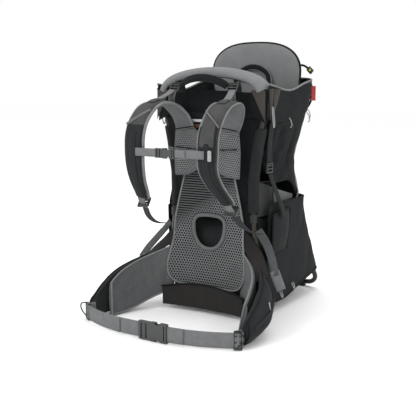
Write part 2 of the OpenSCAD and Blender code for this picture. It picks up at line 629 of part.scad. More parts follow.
sternum_y = -174.5;
sternum_w = 20;
tongue_x = -12;
module sternum_strap(x0, x1) color(light)
    band([for (u = [0, 0.5, 1]) [[mix(x0, x1, u), sternum_y, sternum_z], [0, 0, 1], sternum_w]], webbing_t);
module sternum_webbing_right() sternum_strap(tongue_x + 33, 104);
module sternum_webbing_left() sternum_strap(-96, tongue_x - 19);
module sternum_socket() color(black) translate([tongue_x, sternum_y, sternum_z]) {
    socket(32, 25, 8);
    translate([16, 0, 13.5]) rotate([0, 90, 0]) cylinder(r = 3, h = 14, $fn = 32);
}
module sternum_tongue() color(black)
    translate([tongue_x - 0.6, sternum_y, sternum_z]) tongue(22, 23, 7, 20);

module grab_handle() {
    pts = smooth([[-68, -14, 598], [-58, -17, 607], [-34, -22, 620], [0, -24, 626], [34, -22, 620],
                  [58, -17, 607], [68, -14, 598]], 3);
    color(charcoal) band([for (p = pts) [p, [0, 0.35, 1], 20]], 8);
}

module red_adjuster() color([0.75, 0.08, 0.07]) translate([150, 312, 577]) rotate([0, 0, -42])
    ladder_lock(24, 40, 12);

// ---------- nodes ----------

place() frame_hoop();
place() cockpit_hoop();
place() seat_hoop();
place() hoop_joiners();
place() kickstand_hubs();
place() pivot_pins();
place() front_feet();
place() frame_sleeves();
place() back_panel();
place() hole_binding();
place() adjuster_plate();
place() lumbar_pad();
place() front_top_panel();
place() drool_pad();
place() collar_left();
place() collar_right();
place() side_panel_left();
place() side_panel_right();
place() rear_panel();
place() storage_bag();
place() storage_skin();
place() side_pocket_left();
place() side_pocket_right();
place() headrest();
place() sunshade_pouch();
place() rear_handle();
place() child_backrest();
place() child_halo();
place() child_buckle();
place() stirrup_straps();
place() stirrup_locks();
place() hip_pad_left();
place() hip_pad_right();
place() hip_pocket_left();
place() hip_pocket_right();
place() hip_webbing_left();
place() hip_webbing_right();
place() hip_adjusters();
place() hip_socket();
place() hip_tongue();
place() hip_stabilizers();
place() load_lifter_locks();
place() load_lifters();
place() yoke();
place() shoulder_strap_left();
place() shoulder_strap_right();
place() strap_locks();
place() lower_webbing();
place() sternum_webbing_right();
place() sternum_webbing_left();
place() sternum_socket();
place() sternum_tongue();
place() grab_handle();
place() seat_pad();
place() pocket_slider_left();
place() pocket_slider_right();
place() red_adjuster();
place() kickstand_tube();
place() kickstand_lugs();
place() kickstand_feet();
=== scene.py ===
import math

import bmesh
import bpy
import numpy as np
from mathutils import Matrix, Vector, noise


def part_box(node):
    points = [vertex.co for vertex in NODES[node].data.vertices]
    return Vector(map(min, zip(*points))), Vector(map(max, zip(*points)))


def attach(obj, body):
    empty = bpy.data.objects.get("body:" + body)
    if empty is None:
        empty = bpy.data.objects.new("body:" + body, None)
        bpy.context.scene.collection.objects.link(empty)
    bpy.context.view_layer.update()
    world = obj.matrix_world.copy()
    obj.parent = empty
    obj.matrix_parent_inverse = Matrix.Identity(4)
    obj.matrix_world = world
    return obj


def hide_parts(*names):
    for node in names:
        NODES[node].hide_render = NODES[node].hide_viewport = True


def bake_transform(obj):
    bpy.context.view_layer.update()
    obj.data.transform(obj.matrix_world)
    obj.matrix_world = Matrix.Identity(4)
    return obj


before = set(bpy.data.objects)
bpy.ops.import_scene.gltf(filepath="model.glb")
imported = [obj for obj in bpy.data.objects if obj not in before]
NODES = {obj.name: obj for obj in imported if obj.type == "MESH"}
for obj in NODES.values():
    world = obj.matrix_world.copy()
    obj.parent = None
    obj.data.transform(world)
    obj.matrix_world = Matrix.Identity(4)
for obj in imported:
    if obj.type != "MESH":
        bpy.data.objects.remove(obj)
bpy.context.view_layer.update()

# The soft pieces are laid out in the CAD's own millimetres, with Y measured from the front feet.
_lo, _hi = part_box("frame_hoop")
SHIFT = (_lo.y + _hi.y) / 2 - 0.035
FRAME_Y = 35.0


def W(p):
    """Points in the layout's millimetres, as metres in the frame."""
    p = np.asarray(p, float) / 1000.0
    p[..., 1] += SHIFT
    return p


# ---------------------------------------------------------------- camera, light, floor

# The camera that was fitted to the photo: its bearing, height angle, place and lens.
CAMERA_TURN, CAMERA_RISE = math.radians(32.29), math.radians(9.03)
CAMERA_AT = (1.106, -1.742 + SHIFT, 0.611)
CAMERA_LENS = 69.23


def look():
    """The camera."""
    az, el = CAMERA_TURN, CAMERA_RISE
    back = Vector((math.sin(az) * math.cos(el), -math.cos(az) * math.cos(el), math.sin(el)))
    right = Vector((math.cos(az), math.sin(az), 0))
    up = back.cross(right)
    cam = bpy.data.objects.new("camera", bpy.data.cameras.new("camera"))
    rot = Matrix((right, up, back)).transposed().to_4x4()
    cam.matrix_world = Matrix.Translation(CAMERA_AT) @ rot
    cam.data.lens = CAMERA_LENS
    cam.data.sensor_width = 36
    cam.data.clip_end = 50
    bpy.context.scene.collection.objects.link(cam)
    bpy.context.scene.camera = cam


def area(name, at, target, size, power, colour=(1, 1, 1)):
    """A square lamp that points at a target."""
    data = bpy.data.lights.new(name, "AREA")
    data.shape = "SQUARE"
    data.size = size
    data.energy = power
    data.color = colour
    lamp = bpy.data.objects.new(name, data)
    lamp.location = at
    lamp.rotation_euler = (Vector(target) - Vector(at)).to_track_quat("-Z", "Y").to_euler()
    bpy.context.scene.collection.objects.link(lamp)


# ---------------------------------------------------------------- materials

class Nodes:
    """Short names for building a node tree."""

    def __init__(self, name):
        self.mat = bpy.data.materials.new(name)
        self.mat.use_nodes = True
        self.tree = self.mat.node_tree
        self.bsdf = self.tree.nodes["Principled BSDF"]

    def put(self, socket, value):
        """Sets an input to a value or links it to a socket."""
        if isinstance(value, bpy.types.NodeSocket):
            self.tree.links.new(value, socket)
        else:
            socket.default_value = value

    def math(self, op, a, b=None, c=None):
        """One math node."""
        n = self.tree.nodes.new("ShaderNodeMath")
        n.operation = op
        for i, v in enumerate((a, b, c)):
            if v is not None:
                self.put(n.inputs[i], v)
        return n.outputs[0]

    def mul(self, a, b):
        return self.math("MULTIPLY", a, b)

    def add(self, a, b):
        return self.math("ADD", a, b)

    def sub(self, a, b):
        return self.math("SUBTRACT", a, b)

    def mad(self, a, b, c):
        """a times b, plus c."""
        return self.math("MULTIPLY_ADD", a, b, c)

    def mix(self, t, a, b):
        """A colour between a and b."""
        n = self.tree.nodes.new("ShaderNodeMix")
        n.data_type = "RGBA"
        self.put(n.inputs["Factor"], t)
        self.put(n.inputs[6], a)
        self.put(n.inputs[7], b)
        return n.outputs[2]

    def noise(self, coord, scale, detail=3.0, rough=0.5):
        """Noise of one scale."""
        n = self.tree.nodes.new("ShaderNodeTexNoise")
        self.put(n.inputs["Vector"], coord)
        n.inputs["Scale"].default_value = scale
        n.inputs["Detail"].default_value = detail
        n.inputs["Roughness"].default_value = rough
        return n.outputs["Fac"]

    def uv(self):
        n = self.tree.nodes.new("ShaderNodeTexCoord")
        s = self.tree.nodes.new("ShaderNodeSeparateXYZ")
        self.tree.links.new(n.outputs["UV"], s.inputs[0])
        return n.outputs["UV"], s.outputs[0], s.outputs[1]

    def obj(self):
        n = self.tree.nodes.new("ShaderNodeTexCoord")
        s = self.tree.nodes.new("ShaderNodeSeparateXYZ")
        self.tree.links.new(n.outputs["Object"], s.inputs[0])
        return n.outputs["Object"], s.outputs[0], s.outputs[1], s.outputs[2]

    def ramp(self, x, a, b):
        n = self.tree.nodes.new("ShaderNodeMapRange")
        self.put(n.inputs["Value"], x)
        n.inputs["From Min"].default_value = a
        n.inputs["From Max"].default_value = b
        return n.outputs["Result"]

    def wave(self, x, period):
        """0 to 1 and back once every period."""
        return self.mad(self.math("SINE", self.mul(x, 2 * math.pi / period)), 0.5, 0.5)

    def holes(self, u, v, p, radius, soft=0.12):
        """1 in round holes laid out in staggered rows p apart, 0 between them."""
        row = self.math("DIVIDE", v, p * 0.866)
        half = self.mul(self.math("FLOORED_MODULO", self.math("FLOOR", row), 2.0), 0.5)
        col = self.add(self.math("DIVIDE", u, p), half)
        x = self.sub(self.math("FRACT", col), 0.5)
        y = self.mul(self.sub(self.math("FRACT", row), 0.5), 0.866)
        d = self.math("SQRT", self.add(self.mul(x, x), self.mul(y, y)))
        return self.ramp(d, radius + soft, radius)

    def bump(self, height, depth):
        n = self.tree.nodes.new("ShaderNodeBump")
        n.inputs["Strength"].default_value = 1.0
        n.inputs["Distance"].default_value = depth
        self.put(n.inputs["Height"], height)
        self.tree.links.new(n.outputs[0], self.bsdf.inputs["Normal"])

    def done(self, colour, rough, sheen=0.0, coat=0.0, metal=0.0, spec=0.5):
        self.put(self.bsdf.inputs["Base Color"], colour)
        self.put(self.bsdf.inputs["Roughness"], rough)
        self.bsdf.inputs["Sheen Weight"].default_value = sheen
        self.bsdf.inputs["Sheen Roughness"].default_value = 0.45
        self.bsdf.inputs["Coat Weight"].default_value = coat
        self.bsdf.inputs["Metallic"].default_value = metal
        self.bsdf.inputs["Specular IOR Level"].default_value = spec
        return self.mat


def grey(v, warm=0.0):
    """A linear colour from a display grey of 0 to 255."""
    f = lambda c: ((c / 255 + 0.055) / 1.055) ** 2.4 if c > 10 else c / 255 / 12.92
    return (f(v + warm), f(v), f(v - warm * 0.6), 1.0)


def cloth_material(name, base, light=1.25, period=0.0011, sheen=0.03, rough=0.9, warm=-1.5, grid=0.0,
                   heather=0.0, depth=0.00025, dust=0.25):
    """A plain or ripstop weave with uneven dye, lint and worn patches."""
    n = Nodes(name)
    vec, u, v = n.uv()
    a = n.wave(u, period)
    b = n.wave(v, period)
    weave = n.mad(n.sub(n.mul(a, b), n.mul(n.sub(1.0, a), n.sub(1.0, b))), 0.5, 0.5)
    weave = n.math("ABSOLUTE", n.mad(weave, 2.0, -1.0))
    patches = n.noise(vec, 28.0, 5.0, 0.62)
    fine = n.noise(vec, 900.0, 2.0, 0.7)
    tone = n.ramp(patches, 0.36, 0.68)
    dark, bright = grey(base * 0.9, warm), grey(base * light, warm)
    colour = n.mix(n.mul(weave, 0.55), dark, bright)
    colour = n.mix(n.mul(tone, dust), colour, grey(base * light * 1.12, warm + 2))
    if heather:
        flecks = n.ramp(n.noise(vec, 1500.0, 1.0, 0.4), 0.42, 0.62)
        colour = n.mix(n.mul(flecks, heather), colour, grey(base * 1.38, warm))
    height = n.mad(fine, 0.6, weave)
    if grid:
        lines = n.math("MAXIMUM", n.ramp(n.wave(u, grid), 0.95, 1.0), n.ramp(n.wave(v, grid), 0.95, 1.0))
        height = n.mad(lines, 1.1, height)
        colour = n.mix(n.mul(lines, 0.35), colour, bright)
    n.bump(height, depth)
    return n.done(colour, n.mad(patches, 0.16, rough - 0.1), sheen=sheen, spec=0.12)


def spacer_mesh(name, hole=58, thread=128, period=0.0072, radius=0.27, ridges=0.0, z_split=None):
    """A knitted spacer mesh: staggered holes through to a dark layer, and ridges above z_split."""
    n = Nodes(name)
    vec, u, v = n.uv()
    gaps = n.holes(u, v, period, radius)
    knit = n.wave(n.add(u, v), 0.0012)
    patches = n.noise(vec, 30.0, 4.0, 0.6)
    body = n.mix(n.mul(knit, 0.5), grey(thread * 0.86, -1.5), grey(thread * 1.06, -1.5))
    body = n.mix(n.mul(n.ramp(patches, 0.35, 0.7), 0.3), body, grey(thread * 1.12, -1))
    height = n.sub(n.mul(knit, 0.12), gaps)
    colour = n.mix(gaps, body, grey(hole, -1))
    if ridges:
        rise = n.wave(v, ridges)
        ribbed = n.mix(n.ramp(rise, 0.25, 0.7), grey(hole * 1.1, -1), grey(thread * 0.74, -1.5))
        ribbed = n.mix(n.mul(n.holes(u, v, ridges * 0.6, 0.2), 0.25), ribbed, grey(hole, -1))
        slant = n.mad(u, -0.6, v)
        blend = n.ramp(n.add(slant, n.mul(n.noise(vec, 40.0), 0.01)), z_split - 0.02, z_split + 0.02)
        colour = n.mix(blend, colour, ribbed)
        height = n.add(n.mul(height, n.sub(1.0, blend)), n.mul(rise, n.mul(blend, 1.2)))
    n.bump(height, 0.0011)
    return n.done(colour, 0.9, sheen=0.02, spec=0.12)


def webbing_material(name, base, warm=-2.0, cross=0.0021):
    """Woven tape: fine ribs across its length, a slanting yarn and dusty patches."""
    n = Nodes(name)
    vec, u, v = n.uv()
    ribs = n.wave(u, cross)
    yarn = n.wave(n.add(v, n.mul(u, 0.5)), 0.0016)
    cell = n.mul(ribs, n.mad(yarn, 0.6, 0.4))
    patches = n.noise(vec, 60.0, 4.0, 0.6)
    colour = n.mix(n.mul(cell, 0.8), grey(base * 0.84, warm), grey(base * 1.12, warm))
    colour = n.mix(n.mul(n.ramp(patches, 0.4, 0.75), 0.3), colour, grey(base * 1.2, warm + 2))
    n.bump(n.mad(n.noise(vec, 1200.0, 1.0), 0.3, cell), 0.0004)
    return n.done(colour, 0.82, sheen=0.02, spec=0.15)


def moulded(name, base, rough=0.5, warm=-1.0, coat=0.0, tint=None):
    """Moulded plastic or rubber with a fine grain, scuffs and dusty wear."""
    n = Nodes(name)
    vec = n.obj()[0]
    grain = n.noise(vec, 2600.0, 2.0, 0.6)
    scuff = n.ramp(n.noise(vec, 90.0, 5.0, 0.7), 0.5, 0.78)
    a = tint or grey(base, warm)
    b = tuple(min(1.0, c * 1.7 + 0.012) for c in a[:3]) + (1.0,)
    colour = n.mix(n.mul(scuff, 0.45), a, b)
    n.bump(grain, 0.00006)
    return n.done(colour, n.mad(scuff, 0.2, rough), coat=coat)


def painted_tube(name):
    """Dark anodised tube: a fine grain and rubbed patches."""
    n = Nodes(name)
    vec = n.obj()[0]
    rub = n.ramp(n.noise(vec, 55.0, 6.0, 0.7), 0.52, 0.8)
    grain = n.noise(vec, 1500.0, 3.0, 0.6)
    colour = n.mix(n.mul(rub, 0.5), (0.030, 0.029, 0.021, 1), (0.10, 0.096, 0.08, 1))
    n.bump(grain, 0.00003)
    return n.done(colour, n.mad(rub, 0.15, 0.3), metal=0.75, coat=0.15)


# ---------------------------------------------------------------- shapes

def smooth(points, steps=6, closed=False):
    """A Catmull-Rom curve through the points."""
    p = [np.asarray(q, float) for q in points]
    n = len(p)
    at = (lambda j: p[j % n]) if closed else (lambda j: p[max(0, min(n - 1, j))])
    out = []
    for i in range(n if closed else n - 1):
        a, b, c, d = at(i - 1), at(i), at(i + 1), at(i + 2)
        for s in range(steps):
            t = s / steps
            out.append(0.5 * (2 * b + (c - a) * t + (2 * a - 5 * b + 4 * c - d) * t * t
                              + (3 * b - a - 3 * c + d) * t ** 3))
    if not closed:
        out.append(p[-1])
    return np.array(out)


def table(rows, x):
    """Reads a value between the rows of (x, value)."""
    return float(np.interp(x, [r[0] for r in rows], [r[1] for r in rows]))


def sinp(t, power=1.0):
    """A half sine wave raised to a power."""
    return max(0.0, math.sin(math.pi * t)) ** power


def build(name, verts, faces, uvs, mats, face_mat=None):
    """A mesh object from points, faces and UVs."""
    me = bpy.data.meshes.new(name)
    me.from_pydata([tuple(v) for v in verts], [], faces)
    layer = me.uv_layers.new(name="UVMap")
    flat = [c for face in uvs for uv in face for c in uv]
    layer.data.foreach_set("uv", flat)
    for m in mats:
        me.materials.append(m)
    if face_mat is not None:
        me.polygons.foreach_set("material_index", face_mat)
    me.polygons.foreach_set("use_smooth", [True] * len(faces))
    me.update()
    ob = bpy.data.objects.new(name, me)
    bpy.context.scene.collection.objects.link(ob)
    return ob


def lengths(g, axis):
    """Running length along a grid, averaged over the other way, in metres."""
    d = np.linalg.norm(np.diff(g, axis=axis), axis=2)
    d = d.mean(axis=1 - axis)
    return np.concatenate([[0], np.cumsum(d)])


def normals(g):
    """The unit normal at each point of a grid."""
    du = np.gradient(g, axis=0)
    dv = np.gradient(g, axis=1)
    n = np.cross(du, dv)
    return n / np.maximum(np.linalg.norm(n, axis=2, keepdims=True), 1e-12)


def shell(name, front, back, mats, wrap=False, planar=None, back_mat=0):
    """A closed piece between two grids in millimetres. planar gives UV from two coordinates."""
    A, B = W(front), W(back)
    m, n = A.shape[:2]
    V = np.concatenate([A.reshape(-1, 3), B.reshape(-1, 3)])
    o = m * n
    U = lengths(A, 0)
    T = lengths(A, 1)
    if wrap:
        T = np.concatenate([T, [T[-1] + np.linalg.norm(A[:, 0] - A[:, -1], axis=1).mean()]])

    def uv(i, j, jj):
        if planar:
            q = A[i, j % n]
            return (q[planar[0]], q[planar[1]])
        return (U[i], T[jj])

    faces, uvs, fm = [], [], []

    def add(face, corners, mat):
        faces.append(face)
        uvs.append(corners)
        fm.append(mat)

    rim = 0.003       # the width that the rim takes up in UV
    last = n if wrap else n - 1
    for i in range(m - 1):
        for j in range(last):
            k = (j + 1) % n
            q = [i * n + j, i * n + k, (i + 1) * n + k, (i + 1) * n + j]
            t = [uv(i, j, j), uv(i, k, j + 1), uv(i + 1, k, j + 1), uv(i + 1, j, j)]
            add(q, t, 0)
            add([o + x for x in reversed(q)], t[::-1], back_mat)
    for j in range(last):
        k = (j + 1) % n
        e = (m - 1) * n
        t = [(0, T[j]), (0, T[j + 1]), (rim, T[j + 1]), (rim, T[j])]
        add([k, j, o + j, o + k], [t[1], t[0], t[3], t[2]], 0)
        add([e + j, e + k, o + e + k, o + e + j], t, 0)
    if not wrap:
        for i in range(m - 1):
            r, s, e = i * n, (i + 1) * n, n - 1
            t = [(U[i], 0), (U[i + 1], 0), (U[i + 1], rim), (U[i], rim)]
            add([r, s, o + s, o + r], t, 0)
            add([s + e, r + e, o + r + e, o + s + e], [t[1], t[0], t[3], t[2]], 0)
    ob = build(name, V, faces, uvs, mats, fm)
    fix_normals(ob)
    return ob


def fix_normals(ob):
    """Turns every face outwards."""
    bm = bmesh.new()
    bm.from_mesh(ob.data)
    bmesh.ops.recalc_face_normals(bm, faces=bm.faces)
    bm.to_mesh(ob.data)
    bm.free()


def panel(name, grid, t, mats, wrap=False, planar=None):
    """A sheet of one thickness along a grid of points."""
    g = np.asarray(grid, float)
    n = normals(g)
    return shell(name, g + n * t / 2, g - n * t / 2, mats, wrap, planar)


def frames(path, up=None, closed=False):
    """The direction of a path and two directions across it, at each point."""
    p = np.asarray(path, float)
    if closed:
        d = np.roll(p, -1, 0) - np.roll(p, 1, 0)
    else:
        d = np.gradient(p, axis=0)
    d /= np.linalg.norm(d, axis=1, keepdims=True)
    if up is None:
        u = np.cross(d[0], [0, 0, 1.0])
        if np.linalg.norm(u) < 0.2:
            u = np.cross(d[0], [1.0, 0, 0])
        us = []
        for t in d:
            u = u - t * np.dot(u, t)
            u /= np.linalg.norm(u)
            us.append(u)
        us = np.array(us)
    else:
        us = np.asarray(up, float)
        us = us - d * np.sum(us * d, axis=1, keepdims=True)
        us /= np.linalg.norm(us, axis=1, keepdims=True)
    return d, us, np.cross(d, us)


def loft(name, rings, mats, closed=False, section_mat=None):
    """A solid through closed rings, each of the same number of points, in millimetres."""
    R = W(rings)
    m, n = R.shape[:2]
    U = lengths(R, 0)
    if closed:
        U = np.concatenate([U, [U[-1] + np.linalg.norm(R[0] - R[-1], axis=1).mean()]])
    T = np.concatenate([lengths(R, 1), [0]])
    T[-1] = T[-2] + np.linalg.norm(R[:, 0] - R[:, -1], axis=1).mean()
    faces, uvs, fm = [], [], []
    for i in range(m if closed else m - 1):
        a, b = i * n, ((i + 1) % m) * n
        for j in range(n):
            k = (j + 1) % n
            faces.append([a + j, a + k, b + k, b + j])
            uvs.append([(U[i], T[j]), (U[i], T[j + 1]), (U[i + 1], T[j + 1]), (U[i + 1], T[j])])
            fm.append(section_mat[j] if section_mat else 0)
    if not closed:
        for e in (0, (m - 1) * n):
            faces.append([e + j for j in range(n)])
            uvs.append([(0, 0)] * n)
            fm.append(0)
    ob = build(name, R.reshape(-1, 3), faces, uvs, mats, fm)
    fix_normals(ob)
    return ob


def tube(name, path, r, mats, closed=False, sides=10, squash=1.0, up=None):
    """A round cord or tube along a path."""
    p = np.asarray(path, float)
    _, u, v = frames(p, up, closed)
    a = np.linspace(0, 2 * math.pi, sides, endpoint=False)
    rr = np.broadcast_to(np.asarray(r, float), (len(p),))
    rings = [p[i] + rr[i] * (np.outer(np.cos(a), u[i]) + squash * np.outer(np.sin(a), v[i]))
             for i in range(len(p))]
    return loft(name, rings, mats, closed)


def tape(name, path, across, width, t, mats, crown=0.0, section_mat=None, n=8):
    """A flat strap with rounded edges; across gives the width direction at each point."""
    p = np.asarray(path, float)
    w = np.broadcast_to(np.asarray(across, float), p.shape)
    _, u, v = frames(p, w)
    hw = np.broadcast_to(np.asarray(width, float), (len(p),)) / 2
    tt = np.broadcast_to(np.asarray(t, float), (len(p),)) / 2
    s = np.linspace(-1, 1, n)
    rings = []
    for i in range(len(p)):
        top = [(x * hw[i], (1 - abs(x) ** 6) * tt[i] * (1 + crown * (1 - x * x)) + 0.12 * tt[i]) for x in s]
        low = [(x * hw[i], -(1 - abs(x) ** 6) * tt[i] * (1 + crown * (1 - x * x)) - 0.12 * tt[i])
               for x in s[::-1]]
        rings.append([p[i] + a * u[i] + b * v[i] for a, b in top + low])
    return loft(name, rings, mats, section_mat=section_mat)


def ripple(ob, amount, size, seed=0.0, stretch=(1, 1, 1), keep=None):
    """Wrinkles: moves points along their normals by smooth noise. keep(co) scales it, in millimetres."""
    me = ob.data
    for v in me.vertices:
        c = v.co
        q = Vector((c.x * stretch[0], c.y * stretch[1], c.z * stretch[2])) * (1000.0
                / size) + Vector((seed, seed * 1.7, seed * 0.3))
        h = noise.noise(q) + 0.45 * noise.noise(q * 2.1) - 0.25 * abs(noise.noise(q * 1.4))
        f = 1.0 if keep is None else keep(c.x * 1000, (c.y - SHIFT) * 1000, c.z * 1000)
        v.co = c + v.normal * (h * amount * f / 1000)
    me.update()


pads = []


def puff(ob, cap=5.0, pins=(), pressure=4.0):
    """Marks a closed piece to be blown up by cloth simulation, no point moving further than cap mm."""
    if pins:
        g = ob.vertex_groups.new(name="pin")
        g.add([int(i) for i in pins], 1.0, "REPLACE")
    pads.append((ob, cap / 1000.0, pressure, bool(pins)))
    return ob


def settle(frames_run=16):
    """Runs every pad's cloth simulation together and keeps the result in the mesh."""
    if not pads:
        return
    rest = {}
    for ob, cap, pressure, pinned in pads:
        co = np.empty(len(ob.data.vertices) * 3)
        ob.data.vertices.foreach_get("co", co)
        rest[ob.name] = co.reshape(-1, 3)
        for m in ob.modifiers:      # only the cloth's own movement is read back
            m.show_viewport = False
        m = ob.modifiers.new("cloth", "CLOTH")
        s = m.settings
        s.quality = 5
        s.mass = 0.15
        s.tension_stiffness = 12
        s.compression_stiffness = 12
        s.shear_stiffness = 4
        s.bending_stiffness = 0.3
        s.use_pressure = True
        s.uniform_pressure_force = pressure
        s.effector_weights.gravity = 0
        m.collision_settings.use_collision = False
        m.collision_settings.use_self_collision = False
        if pinned:
            s.vertex_group_mass = "pin"
        m.point_cache.frame_start = 1
        m.point_cache.frame_end = frames_run + 2
    sc = bpy.context.scene
    for f in range(1, frames_run + 1):
        sc.frame_set(f)
    dg = bpy.context.evaluated_depsgraph_get()
    moved = {}
    for ob, cap, pressure, pinned in pads:
        ev = ob.evaluated_get(dg)
        co = np.empty(len(ob.data.vertices) * 3)
        ev.data.vertices.foreach_get("co", co)
        moved[ob.name] = co.reshape(-1, 3)
    for ob, cap, pressure, pinned in pads:
        a, b = rest[ob.name], moved[ob.name]
        d = b - a
        length = np.linalg.norm(d, axis=1, keepdims=True)
        d *= np.minimum(1.0, cap / np.maximum(length, 1e-9))
        ob.modifiers.remove(ob.modifiers["cloth"])
        for m in ob.modifiers:
            m.show_viewport = True
        ob.data.vertices.foreach_set("co", (a + d).ravel())
        ob.data.update()
    sc.frame_set(1)


def rim_ids(m, n, extra=()):
    """Vertex numbers of both faces' borders in a shell of m by n points."""
    out = set()
    for o in (0, m * n):
        for i in range(m):
            for j in range(n):
                if i in (0, m - 1) or j in (0, n - 1) or i in extra:
                    out.add(o + i * n + j)
    return sorted(out)


def finish_piece(ob, body, replaces=(), sub=1):
    """Smooths a piece, hangs it on the body it rides and hides what it replaces."""
    if sub:
        m = ob.modifiers.new("smooth", "SUBSURF")
        m.levels = sub
        m.render_levels = sub
    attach(ob, body)
    if replaces:
        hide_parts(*replaces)
    return ob


def stitches(name, rows, body, mat, pitch=4.2, length=2.6, r=0.42):
    """Rows of thread stitches lying on a surface; each row is (points, outward direction)."""
    verts, faces, uvs = [], [], []
    for path, out in rows:
        p = W(path)
        seg = np.linalg.norm(np.diff(p, axis=0), axis=1)
        run = np.concatenate([[0], np.cumsum(seg)])
        count = int(run[-1] * 1000 / pitch)
        out = np.asarray(out, float)
        for k in range(count):
            s0 = (k + 0.2) * pitch / 1000
            s1 = s0 + length / 1000
            a = np.array([np.interp(s0, run, p[:, c]) for c in range(3)])
            b = np.array([np.interp(s1, run, p[:, c]) for c in range(3)])
            d = b - a
            if np.linalg.norm(d) < 1e-6:
                continue
            d /= np.linalg.norm(d)
            o = out if out.ndim == 1 else out[min(len(out) - 1, int(k / max(1, count) * len(out)))]
            h = o - d * np.dot(o, d)
            h /= np.linalg.norm(h)
            w = np.cross(d, h)
            base = len(verts)
            for q, g in ((a, 0.35), (a * 0.7 + b * 0.3, 1.0), (a * 0.3 + b * 0.7, 1.0), (b, 0.35)):
                for ang in range(5):
                    t = ang * 2 * math.pi / 5
                    verts.append(q + (w * math.cos(t) + h * (math.sin(t) * 0.6 + 0.3)) * r * g / 1000)
            for s in range(3):
                for ang in range(5):
                    nx = (ang + 1) % 5
                    faces.append([base + s * 5 + ang, base + s * 5 + nx, base + (s + 1) * 5 + nx,
                                  base + (s + 1) * 5 + ang])
                    uvs.append([(0, 0), (0, .001), (.001, .001), (.001, 0)])
    ob = build(name, verts, faces, uvs, [mat])
    return finish_piece(ob, body, sub=0)


# ---------------------------------------------------------------- the carrier's own materials

look()
M = {
    "ridge": spacer_mesh("back_mesh", 16, 120, 0.0076, 0.27, ridges=0.0066, z_split=0.300),
    "mesh": spacer_mesh("wing_mesh", 58, 112, 0.0046, 0.20),
    "yoke": spacer_mesh("yoke_mesh", 34, 128, 0.0056, 0.23),
    "lining": spacer_mesh("strap_lining", 78, 122, 0.0034, 0.15),
    "headrest": cloth_material("headrest_knit", 112, 1.12, 0.0016, heather=0.5, dust=0.25, depth=0.0003),
    "drool": cloth_material("drool_knit", 112, 1.14, 0.0016, heather=0.5, dust=0.3, depth=0.0003),
    "black": cloth_material("pack_cloth", 22, 1.3, 0.0012, warm=-2.5, dust=0.3, grid=0.0065),
    "plain": cloth_material("smooth_cloth", 26, 1.25, 0.0010, warm=-2.5, dust=0.3),
    "skin": cloth_material("skin_cloth", 34, 1.2, 0.0009, warm=-2.5, dust=0.25),
    "charcoal": cloth_material("charcoal_cloth", 38, 1.25, 0.0013, warm=-2.0, dust=0.35),
    "brown": cloth_material("corner_cloth", 62, 1.2, 0.0013, warm=4.0, dust=0.3),
    "lumbar": cloth_material("lumbar_cloth", 41, 1.2, 0.0010, warm=1.0, dust=0.25),
    "outer": cloth_material("strap_cloth", 66, 1.25, 0.0014, warm=-0.5, dust=0.35),
    "inside": cloth_material("inside_cloth", 62, 1.25, 0.0013, warm=-1.0, dust=0.4),
    "flap": cloth_material("flap_cloth", 100, 1.15, 0.0013, dust=0.4),
    "piping": webbing_material("edge_piping", 126),
    "binding": webbing_material("window_binding", 104),
    "dark_piping": webbing_material("dark_piping", 26, cross=0.0014),
    "webbing": webbing_material("grey_webbing", 116),
    "dark_webbing": webbing_material("dark_webbing", 40),
    # lower_webbing: grey 60, darker than mid_webbing, is partly the strap's own dark tone and partly
    # painted shade for the strap ends under the shoulder straps
    "lower_webbing": webbing_material("lower_webbing", 60),
    "mid_webbing": webbing_material("mid_webbing", 84),
    "thread": moulded("thread", 120, 0.8),
    "dark_thread": moulded("dark_thread", 50, 0.8),
    "plastic": moulded("buckle_plastic", 34, 0.42),
    "lock": moulded("lock_plastic", 58, 0.42),
    "housing": moulded("hub_plastic", 24, 0.5),
    "rubber": moulded("foot_rubber", 18, 0.75),
    "cord": webbing_material("cord_sleeve", 170, cross=0.0012),
    "tube": painted_tube("frame_paint"),
    "red": moulded("red_plastic", 0, 0.35, tint=(0.36, 0.014, 0.012, 1)),
    "lime": moulded("lime_plastic", 0, 0.45, tint=(0.42, 0.5, 0.06, 1)),
    "silver": moulded("silver_clip", 150, 0.3),
    "white": cloth_material("white_tape", 205, 1.08, 0.0010, dust=0.1),
    "rust": cloth_material("rust_patch", 66, 1.15, 0.0010, warm=26, dust=0.2),
}
SIDES = (("right", 1), ("left", -1))


# A slot name for each material, which a call can override.
SLOTS = {
    "black": "black_fabric", "plain": "black_fabric", "skin": "black_fabric", "lumbar": "black_fabric",
    "silver": "buckle_plastic", "plastic": "buckle_plastic", "lime": "buckle_plastic",
    "rust": "charcoal_fabric", "charcoal": "charcoal_fabric", "outer": "charcoal_fabric",
    "brown": "charcoal_fabric", "flap": "charcoal_fabric",
    "dark_piping": "dark_webbing", "dark_webbing": "dark_webbing",
    "binding": "light_webbing", "piping": "light_webbing", "white": "light_webbing",
    "webbing": "light_webbing", "cord": "light_webbing", "mid_webbing": "light_webbing",
}
BENT = "pack to kickstand"


def put_on(ob, mat, body, slot, replaces=(), sub=0):
    """Finishes a piece that rides one body, or bakes one given BENT in place."""
    slot = slot or SLOTS[mat]
    if body == BENT:
        bend(ob, replaces, sub)
    else:
        finish_piece(ob, body, replaces, sub)


def add_tube(name, path, r, mat, body="pack", slot=None, replaces=(), sub=0, sides=8, **form):
    """A cord, seam or piping of one material."""
    put_on(tube(name, path, r, [M[mat]], sides=sides, **form), mat, body, slot, replaces, sub=sub)


def add_tape(name, path, across, width, t, mat, body="pack", slot=None, replaces=(), fill=None, sub=0, n=6,
             **form):
    """A strap of one material."""
    put_on(tape(name, path, across, width, t, [M[mat]], n=n, **form), mat, body, slot, replaces, sub)


def add_cloth(name, grid, t, mat, body="pack", slot=None, replaces=(),
              folds=()):
    """A sewn sheet of one material; each fold is what ripple takes."""
    ob = panel(name, grid, t, [M[mat]])
    for fold in folds:
        ripple(ob, *fold)
    put_on(ob, mat, body, slot, replaces, sub=1)


